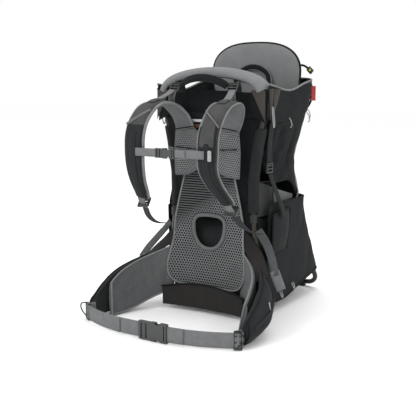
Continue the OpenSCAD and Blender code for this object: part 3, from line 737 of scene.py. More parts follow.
def mx(points, s):
    """The points, mirrored when s is -1."""
    p = np.array(points, float)
    p[..., 0] *= s
    return p


# ---------------------------------------------------------------- back panel and lumbar

def panel_y(x, z):
    """How far forward the mesh panel stands."""
    return table([[60, 2], [110, 7], [160, 12], [250, 17], [530, 20]], z) - 7 * (abs(x) / 115) ** 2


def panel_half(z):
    """Half the width of the mesh panel."""
    return table([[66, 118], [100, 115], [160, 108], [250, 104], [310, 92], [365, 80], [420, 84],
                  [520, 98]], z)


def sgn(x):
    """The sign of x."""
    return (x > 0) - (x < 0)


def mesh_edge(x, z):
    """The panel's edge flares and comes forward below the waist, to meet the wings."""
    f = max(0.0, min(1.0, (196 - z) / 120.0))
    e = max(0.0, abs(x) - 60) / 50.0
    drop = 14 * max(0.0, 120 - z) / 54
    return x * (1 + 0.25 * f * min(1.0, e)), panel_y(x, z) - 18 * f * e ** 1.6, z - drop


def window_point(a, grow=0.0):
    """A point of the window's edge at one angle."""
    s, c = math.sin(a), math.cos(a)
    up = s > 0
    return ((48 + grow) * sgn(c) * abs(c) ** (0.62 if up else 0.9),
            234 + sgn(s) * ((28 if up else 62) + grow) * abs(s) ** (0.72 if up else 0.95))


def panel_point(a):
    """A point of the mesh panel's outer edge at one angle."""
    s, c = math.sin(a), math.cos(a)
    z = 234 + (520 - 234) * s ** 1.15 if s > 0 else 234 + (66 + 16 * (1 - abs(c)) - 234) * (-s) ** 0.8
    x = panel_half(z) * sgn(c) * min(1.0, abs(c) ** 0.32)
    return x, z


def back_panel():
    """The suspended mesh, its bindings and the gussets to the frame."""
    cols, rows = 96, 14
    angles = [2 * math.pi * j / cols for j in range(cols)]
    grid = []
    for i in range(rows + 1):
        row = []
        for a in angles:
            p, q = window_point(a, 4.5), panel_point(a)
            t = i / rows
            x, z = p[0] + (q[0] - p[0]) * t, p[1] + (q[1] - p[1]) * t
            x, y, z = mesh_edge(x, z)
            row.append((x, y + 0.8 * math.sin(math.pi * t), z))
        grid.append(row)
    ob = panel("back_panel_mesh", grid, 4.0, [M["ridge"]], wrap=True, planar=(0, 2))
    finish_piece(ob, "pack", ["back_panel"])
    ring = [(x, panel_y(x, z) - 1.6, z) for x, z in (window_point(a) for a in angles)]
    add_tube("window_binding", ring, 3.6, "binding", replaces=["hole_binding"], sides=12, sub=1,
             closed=True, squash=1.5, up=[(0, 1, 0)] * len(ring))
    edge = [mesh_edge(x, z) for x, z in (panel_point(a) for a in angles)]
    edge = [(x * 1.005, y - 1.2, z) for x, y, z in edge]
    add_tube("panel_edge_binding", edge, 2.6, "piping", closed=True)
    # black cloth between the mesh and the frame
    for side, s in SIDES:
        grid = []
        for z in np.linspace(70, 520, 46):
            x0, y0, _ = mesh_edge(panel_half(z) - 6, z)
            x1, y1 = hoop_half(z) - (3 if z < 276 or z > 492 else 10), 27.0
            grid.append([(s * (x0 + (x1 - x0) * t), y0 + 4 + (y1 - y0 - 4) * t ** 0.8 + 3
                          * math.sin(math.pi * t), z) for t in np.linspace(0, 1, 9)])
        add_cloth("back_gusset_" + side, grid, 1.8, "plain",
                  folds=[(1.6, 50, 31.0 + s, (1, 1, 0.5))])
    rows_ = [([(x, panel_y(x, z) - 3.2, z) for x, z in (window_point(a, 9) for a in angles + angles[:1])],
              (0, -1, 0))]
    stitches("window_stitching", rows_, "pack", M["thread"])


def lumbar():
    """The lumbar pad."""
    m, n = 34, 10
    front, back = [], []
    for i in range(m + 1):
        x = -127 + 254 * i / m
        top = 62 + 17 * math.cos(math.radians(x * 90 / 130))
        y = -9 - 13 * (x / 132) ** 2
        front.append([(x, y - 5, 12 + (top - 12) * k / n) for k in range(n + 1)])
        back.append([(x, y + 5, 12 + (top - 12) * k / n) for k in range(n + 1)])
    ob = shell("lumbar_cover", front, back, [M["lumbar"]])
    ripple(ob, 1.2, 45, 3, keep=lambda x, y, z: 1.0)
    puff(ob, 4.0, rim_ids(m + 1, n + 1), 3.0)
    finish_piece(ob, "pack", ["lumbar_pad"])
    top = [(p[-1][0], p[-1][1] - 1, p[-1][2] + 0.5) for p in front]
    add_tube("lumbar_top_binding", top, 2.2, "dark_piping")


# ---------------------------------------------------------------- front panel, drool pad, handle

HOOP_RIGHT = [(70, 24), (122, 24.5), (141, 35), (147, 62), (140, 130), (125, 210), (118, 290), (119, 370),
              (131, 450), (146, 520), (149, 565), (140, 596), (112, 614), (60, 626)]


def hoop_half(z):
    """Half the width of the frame hoop."""
    return table([[62, 147], [130, 140], [210, 125], [290, 118], [370, 119], [450, 131], [520, 146],
                  [565, 149]], z)


def drool_pad():
    """The padded rail in front of the child."""
    pts = [(0, 24)] + HOOP_RIGHT + [(0, 630)] + [(-x, z) for x, z in reversed(HOOP_RIGHT)]
    curve = [p for p in smooth([(x, 0, z) for x, z in pts], 6, True) if p[2] > 577]
    curve = sorted(curve, key=lambda p: -math.atan2(p[0], p[2] - 560))
    curve = np.array(curve)[::-1]
    d = np.gradient(curve, axis=0)
    d /= np.linalg.norm(d, axis=1, keepdims=True)
    outward = 1.0 if np.cross(d[len(d) // 2], [0, 1, 0])[2] > 0 else -1.0
    angles = np.radians(np.linspace(-34, 214, 23))

    def ring(ry, rz, i):
        end = abs(2.0 * i / (len(curve) - 1) - 1) ** 3
        return [(curve[i][0] - outward * d[i][2] * rz * math.sin(a),
                 FRAME_Y + ry * math.cos(a) * (1 + (0.75 * end if math.cos(a) > 0 else 0)),
                 curve[i][2] + outward * d[i][0] * rz * math.sin(a)) for a in angles]

    front = [ring(26, 16.5, i) for i in range(len(curve))]
    back = [ring(15.5, 10, i) for i in range(len(curve))]
    ob = shell("drool_pad_cover", front, back, [M["drool"]])
    puff(ob, 4.0, rim_ids(len(curve), len(angles)), 3.5)
    finish_piece(ob, "pack", ["drool_pad"])
    for name, j in (("front", -1), ("rear", 0)):
        edge = [np.array(front[i][j]) * 0.6 + np.array(back[i][j]) * 0.4 for i in range(len(curve))]
        add_tube("drool_pad_%s_seam" % name, edge, 2.0, "dark_piping")


def front_panel():
    """The cloth behind the yoke, and its labels."""
    m, n = 56, 16
    grid = []
    for i in range(m + 1):
        x = -166 + 332 * i / m
        out = max(0.0, abs(x) - 118) / 48
        lo, hi = 520 + abs(x) * 0.06 - 26 * out, 588 - abs(x) * 0.05 + 12 * out
        grid.append([(x, 20.5 - 4.0 * math.sin(math.pi * min(1.0, out)) + 1.5 * out + 1.0
                      * math.sin(k * 0.7), lo + (hi - lo) * k / n) for k in range(n + 1)])
    add_cloth("front_top_cloth", grid, 2.4, "black",
              replaces=["front_top_panel"],
              folds=[(2.4, 60, 1.0, (1, 1, 0.5), lambda x, y, z: min(1.0, (590 - z) / 20.0))])
    grid = []
    for i in range(m + 1):
        x = -98 + 196 * i / m
        grid.append([(x, 13.0 - 2.0 * (x / 98) ** 2, 468 + 62 * k / n) for k in range(n + 1)])
    add_cloth("yoke_backing_cloth", grid, 1.6, "plain", folds=[(1.2, 40, 5.0)])
    # folded hem and two plain patches sewn under it
    hem = [(x, 18.0, 522 + abs(x) * 0.06) for x in np.linspace(-126, 126, 30)]
    add_tape("front_panel_hem", hem, (0, 0, 1), 9, 3.2, "black", n=8)
    patch = [(x, 8.6, 509) for x in np.linspace(-54, -12, 12)]
    add_tape("plain_label", patch, (0, 0, 1), 7, 1.2, "white", n=8)
    patch = [(x, 8.6, 495) for x in np.linspace(-50, -14, 12)]
    add_tape("rust_label", patch, (0, 0, 1), 10, 1.0, "rust", n=8)


def grab_handle():
    """The swinging handle's sleeve."""
    pts = smooth([(-71, -14, 597), (-60, -18, 605), (-34, -23, 615), (0, -25, 619), (34, -23, 615),
                  (60, -18, 605), (71, -14, 597)], 7)
    u = np.linspace(-1, 1, len(pts))
    across = np.array([(0, 0.35, 1)] * len(pts))
    width = 21 - 4 * np.abs(u) ** 4
    ob = tape("handle_sleeve", pts, across, width, 8.5 - 2 * np.abs(u) ** 4, [M["plain"]], crown=0.15, n=10)
    ripple(ob, 0.7, 22, 2.0, (0.6, 1, 1))
    finish_piece(ob, "grab_handle", ["grab_handle"])
    rows = []
    for s in (-1, 1):
        rows.append(([(p[0], p[1] - 4.6 + 0.35 * s * 7, p[2] + s * 7) for p in pts[4:-4]], (0, -1, 0.3)))
    stitches("handle_stitching", rows, "grab_handle", M["dark_thread"])


# ---------------------------------------------------------------- shoulder harness

STRAP = [(72, 1, 503), (81, -6, 525), (93, -27, 547), (102, -62, 557), (106, -106, 547), (108, -142, 516),
         (108, -160, 480), (108, -163, 440), (108, -161, 402), (115, -143, 366), (124, -116, 334),
         (129, -102, 316)]
STRAP_W = [58, 60, 62, 62, 60, 58, 58, 58, 54, 48, 42, 38]


def along(rows, f):
    """A point between two rows of a list."""
    i = min(int(f), len(rows) - 2)
    return rows[i] + (rows[i + 1] - rows[i]) * (f - i)


def strap_frame(s):
    """The path, cross direction and width of a shoulder strap."""
    root = [(67, 0.5, 484)]
    pts = smooth(mx(root + STRAP, s), 7)
    n = len(pts)
    widths = [56] + STRAP_W
    w = np.interp(np.linspace(0, len(widths) - 1, n), range(len(widths)), widths)
    lean = np.clip(1 - np.maximum(np.arange(n) - 7, 0) / 24.0, 0, 1)
    across = np.stack([np.ones(n), 0.1 * lean * s, 0.25 * lean * s], 1)
    return pts, across, w


def shoulder_strap(side, s):
    """One padded shoulder strap with its piping, cover and ladder tape."""
    pts, across, w = strap_frame(s)
    n = 11
    x = np.linspace(-1, 1, n)
    _, u, v = frames(pts, across)
    rings = []
    for i in range(len(pts)):
        hw = w[i] / 2 - 1.5
        top = [(a * hw, 5.4 * (1 - abs(a) ** 3.2) ** 0.7 + 0.5) for a in x]
        low = [(a * hw, -5.4 * (1 - abs(a) ** 3.2) ** 0.7 - 0.5) for a in x[::-1]]
        rings.append([pts[i] + a * u[i] + b * v[i] for a, b in top + low])
    mats = [0] * (n - 1) + [2] + [1] * (n - 1) + [2]
    ob = loft("shoulder_strap_%s_pad" % side, rings, [M["outer"], M["lining"], M["piping"]],
              section_mat=mats)
    pins = [i * 2 * n + j for i in range(len(pts)) for j in (0, n - 1, n, 2 * n - 1)]
    pins += list(range(2 * n)) + list(range((len(pts) - 1) * 2 * n, len(pts) * 2 * n))
    puff(ob, 2.6, pins, 3.0)
    finish_piece(ob, "torso_harness", ["shoulder_strap_" + side])
    for k, a in (("a", -1), ("b", 1)):
        wide = a * s < 0
        edge = [pts[i] + a * (w[i] / 2 - (1.6 if wide else 0.8)) * u[i] for i in range(len(pts))]
        add_tube("strap_%s_edge_%s" % (side, k), edge, 3.9 if wide else 1.9, "piping", "torso_harness")
    # dark lower cover with a webbing ladder sewn down its middle
    a, b = int(len(pts) * 0.53), len(pts) - 2
    run = [pts[i] + 6.4 * v[i] for i in range(a, b)]
    add_tape("strap_%s_lower_cover" % side, run, across[a:b], w[a:b] - 9, 2.4, "charcoal", "torso_harness",
             n=8)
    run = [pts[i] + 8.4 * v[i] for i in range(a + 3, b)]
    add_tape("strap_%s_ladder" % side, run, across[a + 3:b], 19, 1.6, "dark_webbing", "torso_harness")
    rows = []
    for i in range(a + 5, b - 1, 5):
        rows.append(([pts[i] + 9.4 * v[i] + q * u[i] for q in np.linspace(-8, 8, 6)], tuple(v[i])))
    for e in (-1, 1):
        rows.append(([pts[i] + 6.6 * v[i] + e * (w[i] / 2 - 6) * u[i] for i in range(3, a)],
                     (0, -0.8, 0.6)))
    stitches("strap_%s_stitching" % side, rows, "torso_harness", M["dark_thread"])
    # a light tape across the upper cover, and the small stretch pocket under it
    i0, i1 = int(len(pts) * 0.45), int(len(pts) * 0.53)
    run = []
    for t in np.linspace(0, 1, 14):
        f = i0 + (i1 - i0) * t
        run.append(along(pts, f) + 7.8 * along(v, f) + s * (t * 2 - 1) * 26 * along(u, f))
    add_tape("strap_%s_cross_tape" % side, run, (0, -0.3, 1), 7, 2.2, "webbing", "torso_harness")
    if s > 0:
        i2, i3 = int(len(pts) * 0.50), int(len(pts) * 0.63)
        front, back = [], []
        for i in range(i2, i3 + 1):
            t = (i - i2) / (i3 - i2)
            hw = 20 * (1 - 0.25 * (1 - t) ** 3)
            front.append([pts[i] + q * hw * u[i] + (8.6 + 1.2 * sinp(t, 0.5) * (1 - q * q) ** 0.6) * v[i]
                          for q in np.linspace(-1, 1, 9)])
            back.append([pts[i] + q * hw * u[i] + 7.8 * v[i] for q in np.linspace(-1, 1, 9)])
        ob = shell("strap_small_pocket", front, back, [M["outer"]])
        finish_piece(ob, "torso_harness")


def yoke():
    """The yoke that joins the shoulder straps."""
    m, n = 36, 24
    front, back = [], []
    for i in range(m + 1):
        q = -1 + 2 * i / m
        top = 466 + 24 * min(1.0, (abs(q) / 0.42) ** 1.3) - 5 * max(0.0, abs(q) - 0.9) / 0.1
        low = 374 - 8 * abs(q) + 30 * max(0.0, 1 - abs(q) / 0.62) ** 1.3
        f, b = [], []
        for k in range(n + 1):
            t = k / n
            z = low + (top - low) * t
            x = q * table([[366, 97], [430, 99], [492, 94]], z)
            f.append((x, -1.6, z))
            b.append((x, 5.4, z))
        front.append(f)
        back.append(b)
    ob = shell("yoke_pad", front, back, [M["yoke"]])
    pins = set(rim_ids(m + 1, n + 1))
    for o in (0, (m + 1) * (n + 1)):
        for k in range(n + 1):
            for i in (m // 2, m // 4, 3 * m // 4):
                pins.add(o + i * (n + 1) + k)
        for i in range(m + 1):
            pins.add(o + i * (n + 1) + n // 2 + 1)
    puff(ob, 3.4, sorted(pins), 3.5)
    finish_piece(ob, "torso_harness", ["yoke"])
    for nm, z0, dz in (("low", 440, -4), ("top", 486, 10)):
        for side, s in SIDES:
            run = [(s * x, -5.6, z0 + dz * (1 - (x - 30) / 64))
                   for x in np.linspace(14 if nm == "low" else 36, 94, 18)]
            add_tube("yoke_%s_seam_%s" % (nm, side), run, 1.5, "dark_piping", "torso_harness", sides=6)
    border = [(r[0][0], 1.9, r[0][2]) for r in front]
    border += [(p[0], 1.9, p[2]) for p in front[-1][1:]]
    border += [(r[-1][0], 1.9, r[-1][2]) for r in front[::-1][1:]]
    border += [(p[0], 1.9, p[2]) for p in front[0][::-1][1:-1]]
    add_tube("yoke_binding", border, 2.2, "binding", "torso_harness", closed=True)


def harness_webbing():
    """The straps of the harness, top and bottom."""
    for side, s in SIDES:
        run = smooth(mx([(135, -84, 285), (141, -64, 262), (146, -38, 244), (149, -8, 232), (150, 22, 226)],
                        s), 7)
        # the lower webbing's darker grey is partly painted shade
        ob = tape("lower_webbing_" + side, run, (0.9 * s, 0.3, -0.2), 22, 2.0, [M["lower_webbing"]], n=6)
        tuple(W((0, -84, 285)))
        tuple(W((0, 22, 226)))
        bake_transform(ob)
        if s > 0:
            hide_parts("lower_webbing")
        run = smooth(mx([(102, -70, 565.8), (99, -56, 570), (94, -38, 578), (90, -22, 588)], s), 6)
        ob = tape("load_lifter_" + side, run, (1, 0, 0), 20, 2.0, [M["webbing"]], n=6)
        tuple(W((0, -70, 565.8)))
        tuple(W((0, -22, 588)))
        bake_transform(ob)
        if s > 0:
            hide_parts("load_lifters")
        run = smooth(mx([(128, -112, 318), (130.5, -107, 309), (133, -98, 297), (135.5, -86, 286)], s), 4)
        add_tape("strap_lock_webbing_" + side, run, (1, 0, 0.12 * s), 22, 1.8, "webbing", "torso_harness")
        # anchor tab of the lifter on the strap, and the tail behind its lock
        run = mx([(104, -100, 557.5), (103.5, -88, 562), (103, -78, 564.8), (102.3, -71, 566)], s)
        add_tape("lifter_tab_" + side, run, (1, 0, 0), 24, 2.2, "outer", "torso_harness")
        run = smooth(mx([(86, -4, 601), (85, 4, 606), (84, 10, 604), (84, 15, 594), (84, 18, 580)], s), 5)
        add_tape("lifter_anchor_" + side, run, (1, 0, 0), 20, 2.0, "dark_webbing")
        run = smooth(mx([(88, -20, 586), (91, -24, 570), (93, -22, 556)], s), 5)
        add_tape("lifter_tail_" + side, run, (1, 0, 0), 20, 1.8, "webbing")


def sternum():
    """The chest strap."""
    y, z = -174.5, 439
    for side, x0, x1, body in (("right", 21, 104, "sternum_strap"), ("left", -96, -31, "sternum_tongue")):
        run = [(x0 + (x1 - x0) * t, y + 0.5 * math.sin(t * 3), z) for t in np.linspace(0, 1, 16)]
        add_tape("sternum_%s_tape" % side, run, (0, 0, 1), 20, 2.0, "webbing", body,
                 replaces=["sternum_webbing_" + side])
        # second layer, folded back from the buckle
        a, b = (24, 52) if side == "right" else (-58, -33)
        run = [(a + (b - a) * t, y - 2.4, z) for t in np.linspace(0, 1, 10)]
        add_tape("sternum_%s_fold" % side, run, (0, 0, 1), 20, 1.8, "webbing", body)
    # clip that grips the edge of the right strap
    path = smooth([(120, -176, 450), (121, -177.5, 445), (121, -177.5, 432), (120, -176, 427)], 5)
    add_tube("strap_clip_right", path, [3.0] + [4.8] * (len(path) - 2) + [3.0], "silver", "sternum_strap",
             sides=12, sub=1)


# ---------------------------------------------------------------- cockpit walls

COLLAR_TOP = [[20, 602], [48, 598], [140, 586], [235, 606], [330, 618]]
COLLAR_LOW = [[20, 530], [48, 512], [140, 506], [235, 524], [330, 530]]


COLLAR_TOP = smooth([(y, 0, z) for y, z in COLLAR_TOP], 8)[:, [0, 2]]
COLLAR_LOW = smooth([(y, 0, z) for y, z in COLLAR_LOW], 8)[:, [0, 2]]


def wall_plan(side, rear, corner=70, n=30):
    """The plan of a side wall, from the front round to the rear."""
    out = [(side, 22 + (rear - corner - 22) * i / n) for i in range(n)]
    out += [(side - corner + corner * math.cos(a), rear - corner + corner * math.sin(a))
            for a in np.radians(np.linspace(0, 84, 12))]
    out += [(side - corner + (2 - side + corner) * u, rear) for u in np.linspace(0, 1, 12)]
    return out


def collars():
    """The cockpit collars and the brown corners."""
    for side, s in SIDES:
        top, low = wall_plan(168, 324), wall_plan(161, 311)
        grid, m = [], 14
        for a, b in zip(low, top):
            col = []
            for k in range(m + 1):
                t = k / m
                x, y = a[0] + (b[0] - a[0]) * t, a[1] + (b[1] - a[1]) * t
                lo, hi = table(COLLAR_LOW, y), table(COLLAR_TOP, y)
                x += 2.2 * math.sin(math.pi * t)
                col.append((s * x, y, lo + (hi - lo) * t))
            grid.append(col)
        add_cloth("collar_%s_cloth" % side, grid, 2.6, "plain", slot="charcoal_fabric",
                  replaces=["collar_" + side],
                  folds=[(2.0, 55, 4.0 + s, (1, 1, 1), lambda x, y, z: 1.0 if z < table(COLLAR_TOP, y) - 12
                          else 0.3)])
        rim = [np.array(c[-1]) + (0, 0, 1) for c in grid]
        add_tube("collar_%s_piping" % side, rim, 2.6, "piping")
        rows = [([np.array(c[-2]) + (s * 1.7, 0, 2) for c in grid[:38]], (s, 0, 0))]
        stitches("collar_%s_stitching" % side, rows, "pack", M["dark_thread"])
        # front corner: brown triangles folded over the wall, with a cord loop
        for nm, (ya, yb, ym, zb) in (("front", (21, 46, 43, 512)), ("rear", (48, 84, 50, 502))):
            corner = []
            for i in range(13):
                u, col = i / 12, []
                for k in range(11):
                    t = k / 10
                    a, b = ya + (ym - ya) * t, yb + (ym + 2 - yb) * t
                    z = 592 + (zb - 592) * t
                    col.append((s * (161 + 7 * (z - 530) / 72.0 + 3.4 + 3 * math.sin(math.pi * u)
                                     * (1 - t)), a + (b - a) * u, z))
                corner.append(col)
            add_cloth("corner_%s_%s_cloth" % (side, nm), corner, 1.6, "brown")
        face = [[(s * (122 + 42 * t + (164 - 122 - 42 * t) * u), 13.6 - 0.8 * math.sin(math.pi * u),
                  588 - 78 * t)
                 for t in np.linspace(0, 1, 11)] for u in np.linspace(0, 1, 9)]
        add_cloth("corner_%s_face_cloth" % side, face, 1.6, "brown")
        loop = smooth([(s * 167, 44, 548), (s * 170, 42, 522), (s * 169, 50, 496), (s * 168, 56, 506),
                       (s * 167, 50, 546)], 6)
        add_tube("corner_%s_loop" % side, loop, 1.5, "cord")


def side_walls():
    """The side walls and the leg openings."""
    for side, s in SIDES:
        grid = []
        for i in range(31):
            u = i / 30
            low = 350 - 50 * max(0.0, (u - 0.55) / 0.45) ** 1.5
            col = []
            for k in range(25):
                t = k / 24
                front = 96 + (58 - 96) * min(1.0, t * 3.2)
                zc = low + (502 - low) * t
                rear = table([[300, 250], [366, 247], [420, 268], [502, 290]], zc)
                half = table([[300, 150], [340, 146], [400, 136], [502, 152]], zc)
                y = front + (rear - front) * u
                z = low + (table(COLLAR_LOW, y) + 7 - low) * t
                x = half - 16 * u ** 4
                wide = 159 if y < 241 else 89 + 70 * math.sqrt(max(0.0, 1 - ((y - 241) / 70) ** 2))
                f = max(0.0, (t - 0.55) / 0.45) ** 1.5
                x += (wide - x) * f
                near = max(0.0, 1 - (y - 58) / 34.0) * min(1.0, t * 3.2) * (1 - f)
                x += (hoop_half(min(z, 520)) + 9 - x) * near
                col.append((s * x, y, z))
            grid.append(col)
        add_cloth("side_%s_cloth" % side, grid, 2.2, "black", body=BENT,
                  replaces=["side_panel_" + side],
                  folds=[(11, 80, 7.0 + s, (1, 1, 0.5), lambda x, y, z: min(1.0, (505 - z) / 25.0)
                          * min(1.0, (y - 56) / 30.0)),
                          (3.5, 26, 9.0 + s, (1, 0.6, 1.4), lambda x, y, z: min(1.0, (505 - z) / 25.0)
                           * min(1.0, (y - 56) / 30.0))])
        # seam band where the wall meets the collar
        run = [(s * 156, y, table(COLLAR_LOW, y) - 3) for y in np.linspace(60, 240, 24)]
        add_tape("wall_%s_seam" % side, run, (0, 0, 1), 12, 2.4, "charcoal")
        edge = [np.array(c[0]) for c in grid[:20]]
        add_tube("leg_opening_%s_binding" % side, edge, 2.4, "dark_piping", BENT)
        # inner flap below the leg opening
        flap = []
        for i in range(13):
            u = i / 12
            flap.append([(s * (138 + 8 * u), 112 + 96 * u, 290 + (12 + 32 * (1 - u) ** 1.1) * k / 6 + 6
                          * u) for k in range(7)])
        add_cloth("leg_%s_flap" % side, flap, 2.0, "flap", body=BENT,
                  folds=[(1.0, 30, 3.0)])
        # cloth inside the leg opening, behind the sleeve
        for nm, z0, z1, y1, mat in (("upper", 262, 356, 118, "inside"), ("lower", 60, 266, 104, "plain")):
            grid = [[(s * (124 + (12 if nm == "upper" else 3) * a), 50 + (y1 - 50) * a,
                      z0 + (z1 - z0) * b - 22 * a * b) for b in np.linspace(0, 1, 12)]
                      for a in np.linspace(0, 1, 8)]
            ob = panel("leg_%s_liner_%s" % (side, nm), grid, 1.8, [M[mat]])
            ripple(ob, 1.6, 40, 51.0 + s)
            finish_piece(ob, "pack")


def adjuster_strap():
    """The strap of the red height adjuster."""
    run = smooth([(141, 303, 612), (147, 309, 604), (149.5, 311.5, 590), (149.5, 311.5, 566),
                  (146, 306, 548), (141, 299, 536)], 5)
    add_tape("red_adjuster_strap", run, (-0.74, 0.67, 0), 16, 2.2, "dark_webbing")


def rear_wall():
    """The rear wall."""
    grid = []
    for i in range(37):
        u = i / 18 - 1
        col = []
        for k in range(23):
            z = 284 + 224 * k / 22
            half = table([[284, 126], [300, 130], [340, 126], [400, 116], [508, 130]], z)
            rear = table([[284, 284], [300, 289], [366, 274], [420, 286], [508, 303]], z)
            col.append((half * u, rear - 16 * u * u, z))
        grid.append(col)
    add_cloth("rear_cloth", grid, 2.2, "black", body=BENT,
              replaces=["rear_panel"], folds=[(4.0, 75, 9.0, (1, 1, 1), lambda x, y,
                                               z: min(1.0, (510 - z) / 25.0))])
    for s in (-1, 1):
        edge = [np.array(c) + (s * 0.5, 1.6, 0) for c in (grid[-1] if s > 0 else grid[0])]
        add_tape("rear_strip_%s" % ("right" if s > 0 else "left"), edge, (1, 0, 0), 7, 1.4, "white", BENT)
    zip_run = [(x, table([[300, 292], [508, 303]], 470) + 1.5 - 16 * (x / 130) ** 2, 470)
               for x in np.linspace(-100, 100, 30)]
    add_tape("rear_zip", zip_run, (0, 0, 1), 9, 2.6, "dark_piping")


def sleeves():
    """The cloth sleeves over the frame tubes."""
    for side, s in SIDES:
        z = np.linspace(276, 492, 36)
        path = [(s * hoop_half(q), 40, q) for q in z]
        rings = []
        for (x, y, q) in path:
            rings.append([(x + 13.6 * math.cos(a), y + 20.2 * math.sin(a), q)
                          for a in np.linspace(0, 2 * math.pi, 20, endpoint=False)])
        inner = [[(x + 9.4 * math.cos(a), y + 15.5 * math.sin(a), q)
                  for a in np.linspace(0, 2 * math.pi, 20, endpoint=False)] for (x, y, q) in path]
        ob = shell("frame_sleeve_" + side, rings, inner, [M["charcoal"]], wrap=True)
        ripple(ob, 0.9, 34, 6.0 + s, (1, 1, 0.4))
        finish_piece(ob, "pack", ["frame_sleeves"] if s > 0 else [])
        seam = [(x + s * 13.8, y, q) for x, y, q in path]
        rows = [(seam, (s, 0, 0))]
        stitches("sleeve_%s_stitching" % side, rows, "pack", M["dark_thread"])


# ---------------------------------------------------------------- storage

SKIN_REAR = [[60, 408], [152, 362], [224, 313], [262, 298], [296, 296]]
SKIN_HALF = [[60, 154], [150, 157], [262, 160], [296, 160]]
SKIN_HEM = [[60, 28], [157, 28], [251, 52], [410, 82]]


def bend(ob, replaces=(), sub=1):
    """Smooths a piece, bakes it in place and hides what it replaces."""
    if sub:
        m = ob.modifiers.new("smooth", "SUBSURF")
        m.levels = m.render_levels = sub
    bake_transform(ob)
    if replaces:
        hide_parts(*replaces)


def skin_plan(z):
    """The plan of the storage skin at one height."""
    h, r = table(SKIN_HALF, z), table(SKIN_REAR, z)
    c = r - 56
    half = [(h - 8 * (1 - u) ** 3, 62 + (c - 62) * u) for u in np.linspace(0, 0.96, 26)]
    half += [(h - 80 + 80 * math.cos(a), c + 56 * math.sin(a)) for a in np.radians(np.linspace(0, 86, 16))]
    half += [(x, r) for x in np.linspace(h - 82, 6, 10)]
    return half + [(0, r)] + [(-x, y) for x, y in half[::-1]]


def storage():
    """The lower bag, its pockets and loops."""
    rows = 26
    base = skin_plan(80)
    plans = {}
    grid = []
    for i in range(len(base)):
        low = table(SKIN_HEM, base[i][1])
        col = []
        for k in range(rows + 1):
            z = low + (296 - low) * k / rows
            key = round(z, 1)
            if key not in plans:
                plans[key] = skin_plan(z)
            x, y = plans[key][i]
            t = k / rows
            col.append((x * (1 - 0.012 * math.sin(math.pi * t)), y, z))
        grid.append(col)
    add_cloth("storage_cloth", grid, 1.8, "skin", body=BENT,
              replaces=["storage_skin"],
              folds=[(6.0, 95, 11.0, (1, 1, 0.55), lambda x, y, z: min(1.0, (300 - z) / 30.0)
                      * (0.35 if 62 < y < 212 and z > 160 else 1.0))])
    hem = [np.array(c[0]) for c in grid]
    add_tube("storage_hem", hem, 2.6, "dark_piping", BENT)
    rim = [np.array(c[-1]) for c in grid]
    add_tube("storage_rim", rim, 2.6, "dark_piping", BENT)
    # small grey loops sewn along the rear and side hems
    for j, (x, y, z) in enumerate(((159, 120, 46), (159, 190, 56), (120, 386, 92), (-159, 120, 46),
                                   (-159, 190, 56), (-120, 386, 92))):
        s = sgn(x)
        loop = smooth([(x, y - 5, z + 8), (x + s * 5, y - 4, z - 2), (x + s * 6, y, z - 8),
                       (x + s * 5, y + 4, z - 2), (x, y + 5, z + 8)], 4)
        add_tube("hem_loop_%d" % j, loop, 1.6, "cord", BENT, sides=6)
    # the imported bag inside
    prof = [(50, 52), (110, 36), (170, 33), (250, 56), (330, 86), (338, 106), (280, 214), (268, 236),
            (50, 236)]
    prof = smooth([(0, y, z) for y, z in prof], 5, True)[:, 1:]
    rings = []
    cy, cz = prof.mean(axis=0)
    for x in np.concatenate([[-121, -118, -112], np.linspace(-104, 104, 22), [112, 118, 121]]):
        f = 1 - 0.16 * max(0.0, (abs(x) - 96) / 26) ** 2
        rings.append([(x, cy + (y - cy) * f, cz + (z - cz) * f) for y, z in prof])
    ob = loft("storage_bag_cloth", rings, [M["charcoal"]])
    ripple(ob, 4.0, 70, 13.0)
    bend(ob, ["storage_bag"])
    for side, s in SIDES:
        front, back = [], []
        for i in range(23):
            a, b = [], []
            for k in range(19):
                z = 168 + (102 + 8 * i / 22) * k / 18
                y = 64 + (94 - 12 * (1 - k / 18) ** 2) * i / 22
                x = table(SKIN_HALF, min(z, 290)) + 1.6
                bulge = 1.5 + 12 * sinp(i / 22, 0.6) * sinp(k / 18, 0.5)
                a.append((s * (x + bulge), y, z))
                b.append((s * x, y, z))
            front.append(a)
            back.append(b)
        ob = shell("side_pocket_%s_cloth" % side, front, back, [M["charcoal"]])
        ripple(ob, 1.6, 60, 15.0 + s, (1, 1, 0.6), keep=lambda x, y, z: 1.0 if abs(x) > 166 else 0.3)
        finish_piece(ob, "pack", ["side_pocket_" + side])
        for nm, path in (("top", [c[-1] for c in front]), ("front", front[0]), ("rear", front[-1])):
            path = [np.array(p) + (s * 1.0, 0, 0) for p in path]
            add_tube("side_pocket_%s_%s_edge" % (side, nm), path, 2.2, "dark_piping")


# ---------------------------------------------------------------- child's seat

def arch(half, low, spring, top, n=48, waist=None):
    """The outline of a pad: a low edge, straight sides and an arched top."""
    a = np.radians(np.linspace(0, 180, n))
    cap = [(half * sgn(math.cos(t)) * abs(math.cos(t)) ** 0.75,
            spring + (top - spring) * math.sin(t) ** 0.85) for t in a]
    right = waist or [(half, low)]
    return right + cap + [(-x, z) for x, z in right[::-1]]


RING = 72        # points round each ring of a cushion


def arch_rows(outline, rows=12):
    """Rings from the outline in to a small one at the centre."""
    p = np.array(outline)
    closed = np.vstack([p, p[:1]])
    seg = np.linalg.norm(np.diff(closed, axis=0), axis=1)
    run = np.concatenate([[0], np.cumsum(seg)])
    t = np.linspace(0, run[-1], RING, endpoint=False)
    q = np.stack([np.interp(t, run, closed[:, k]) for k in (0, 1)], 1)
    c = q.mean(axis=0)
    return [c + (q - c) * f for f in 1 - (np.linspace(0, 0.985, rows)) ** 1.25]


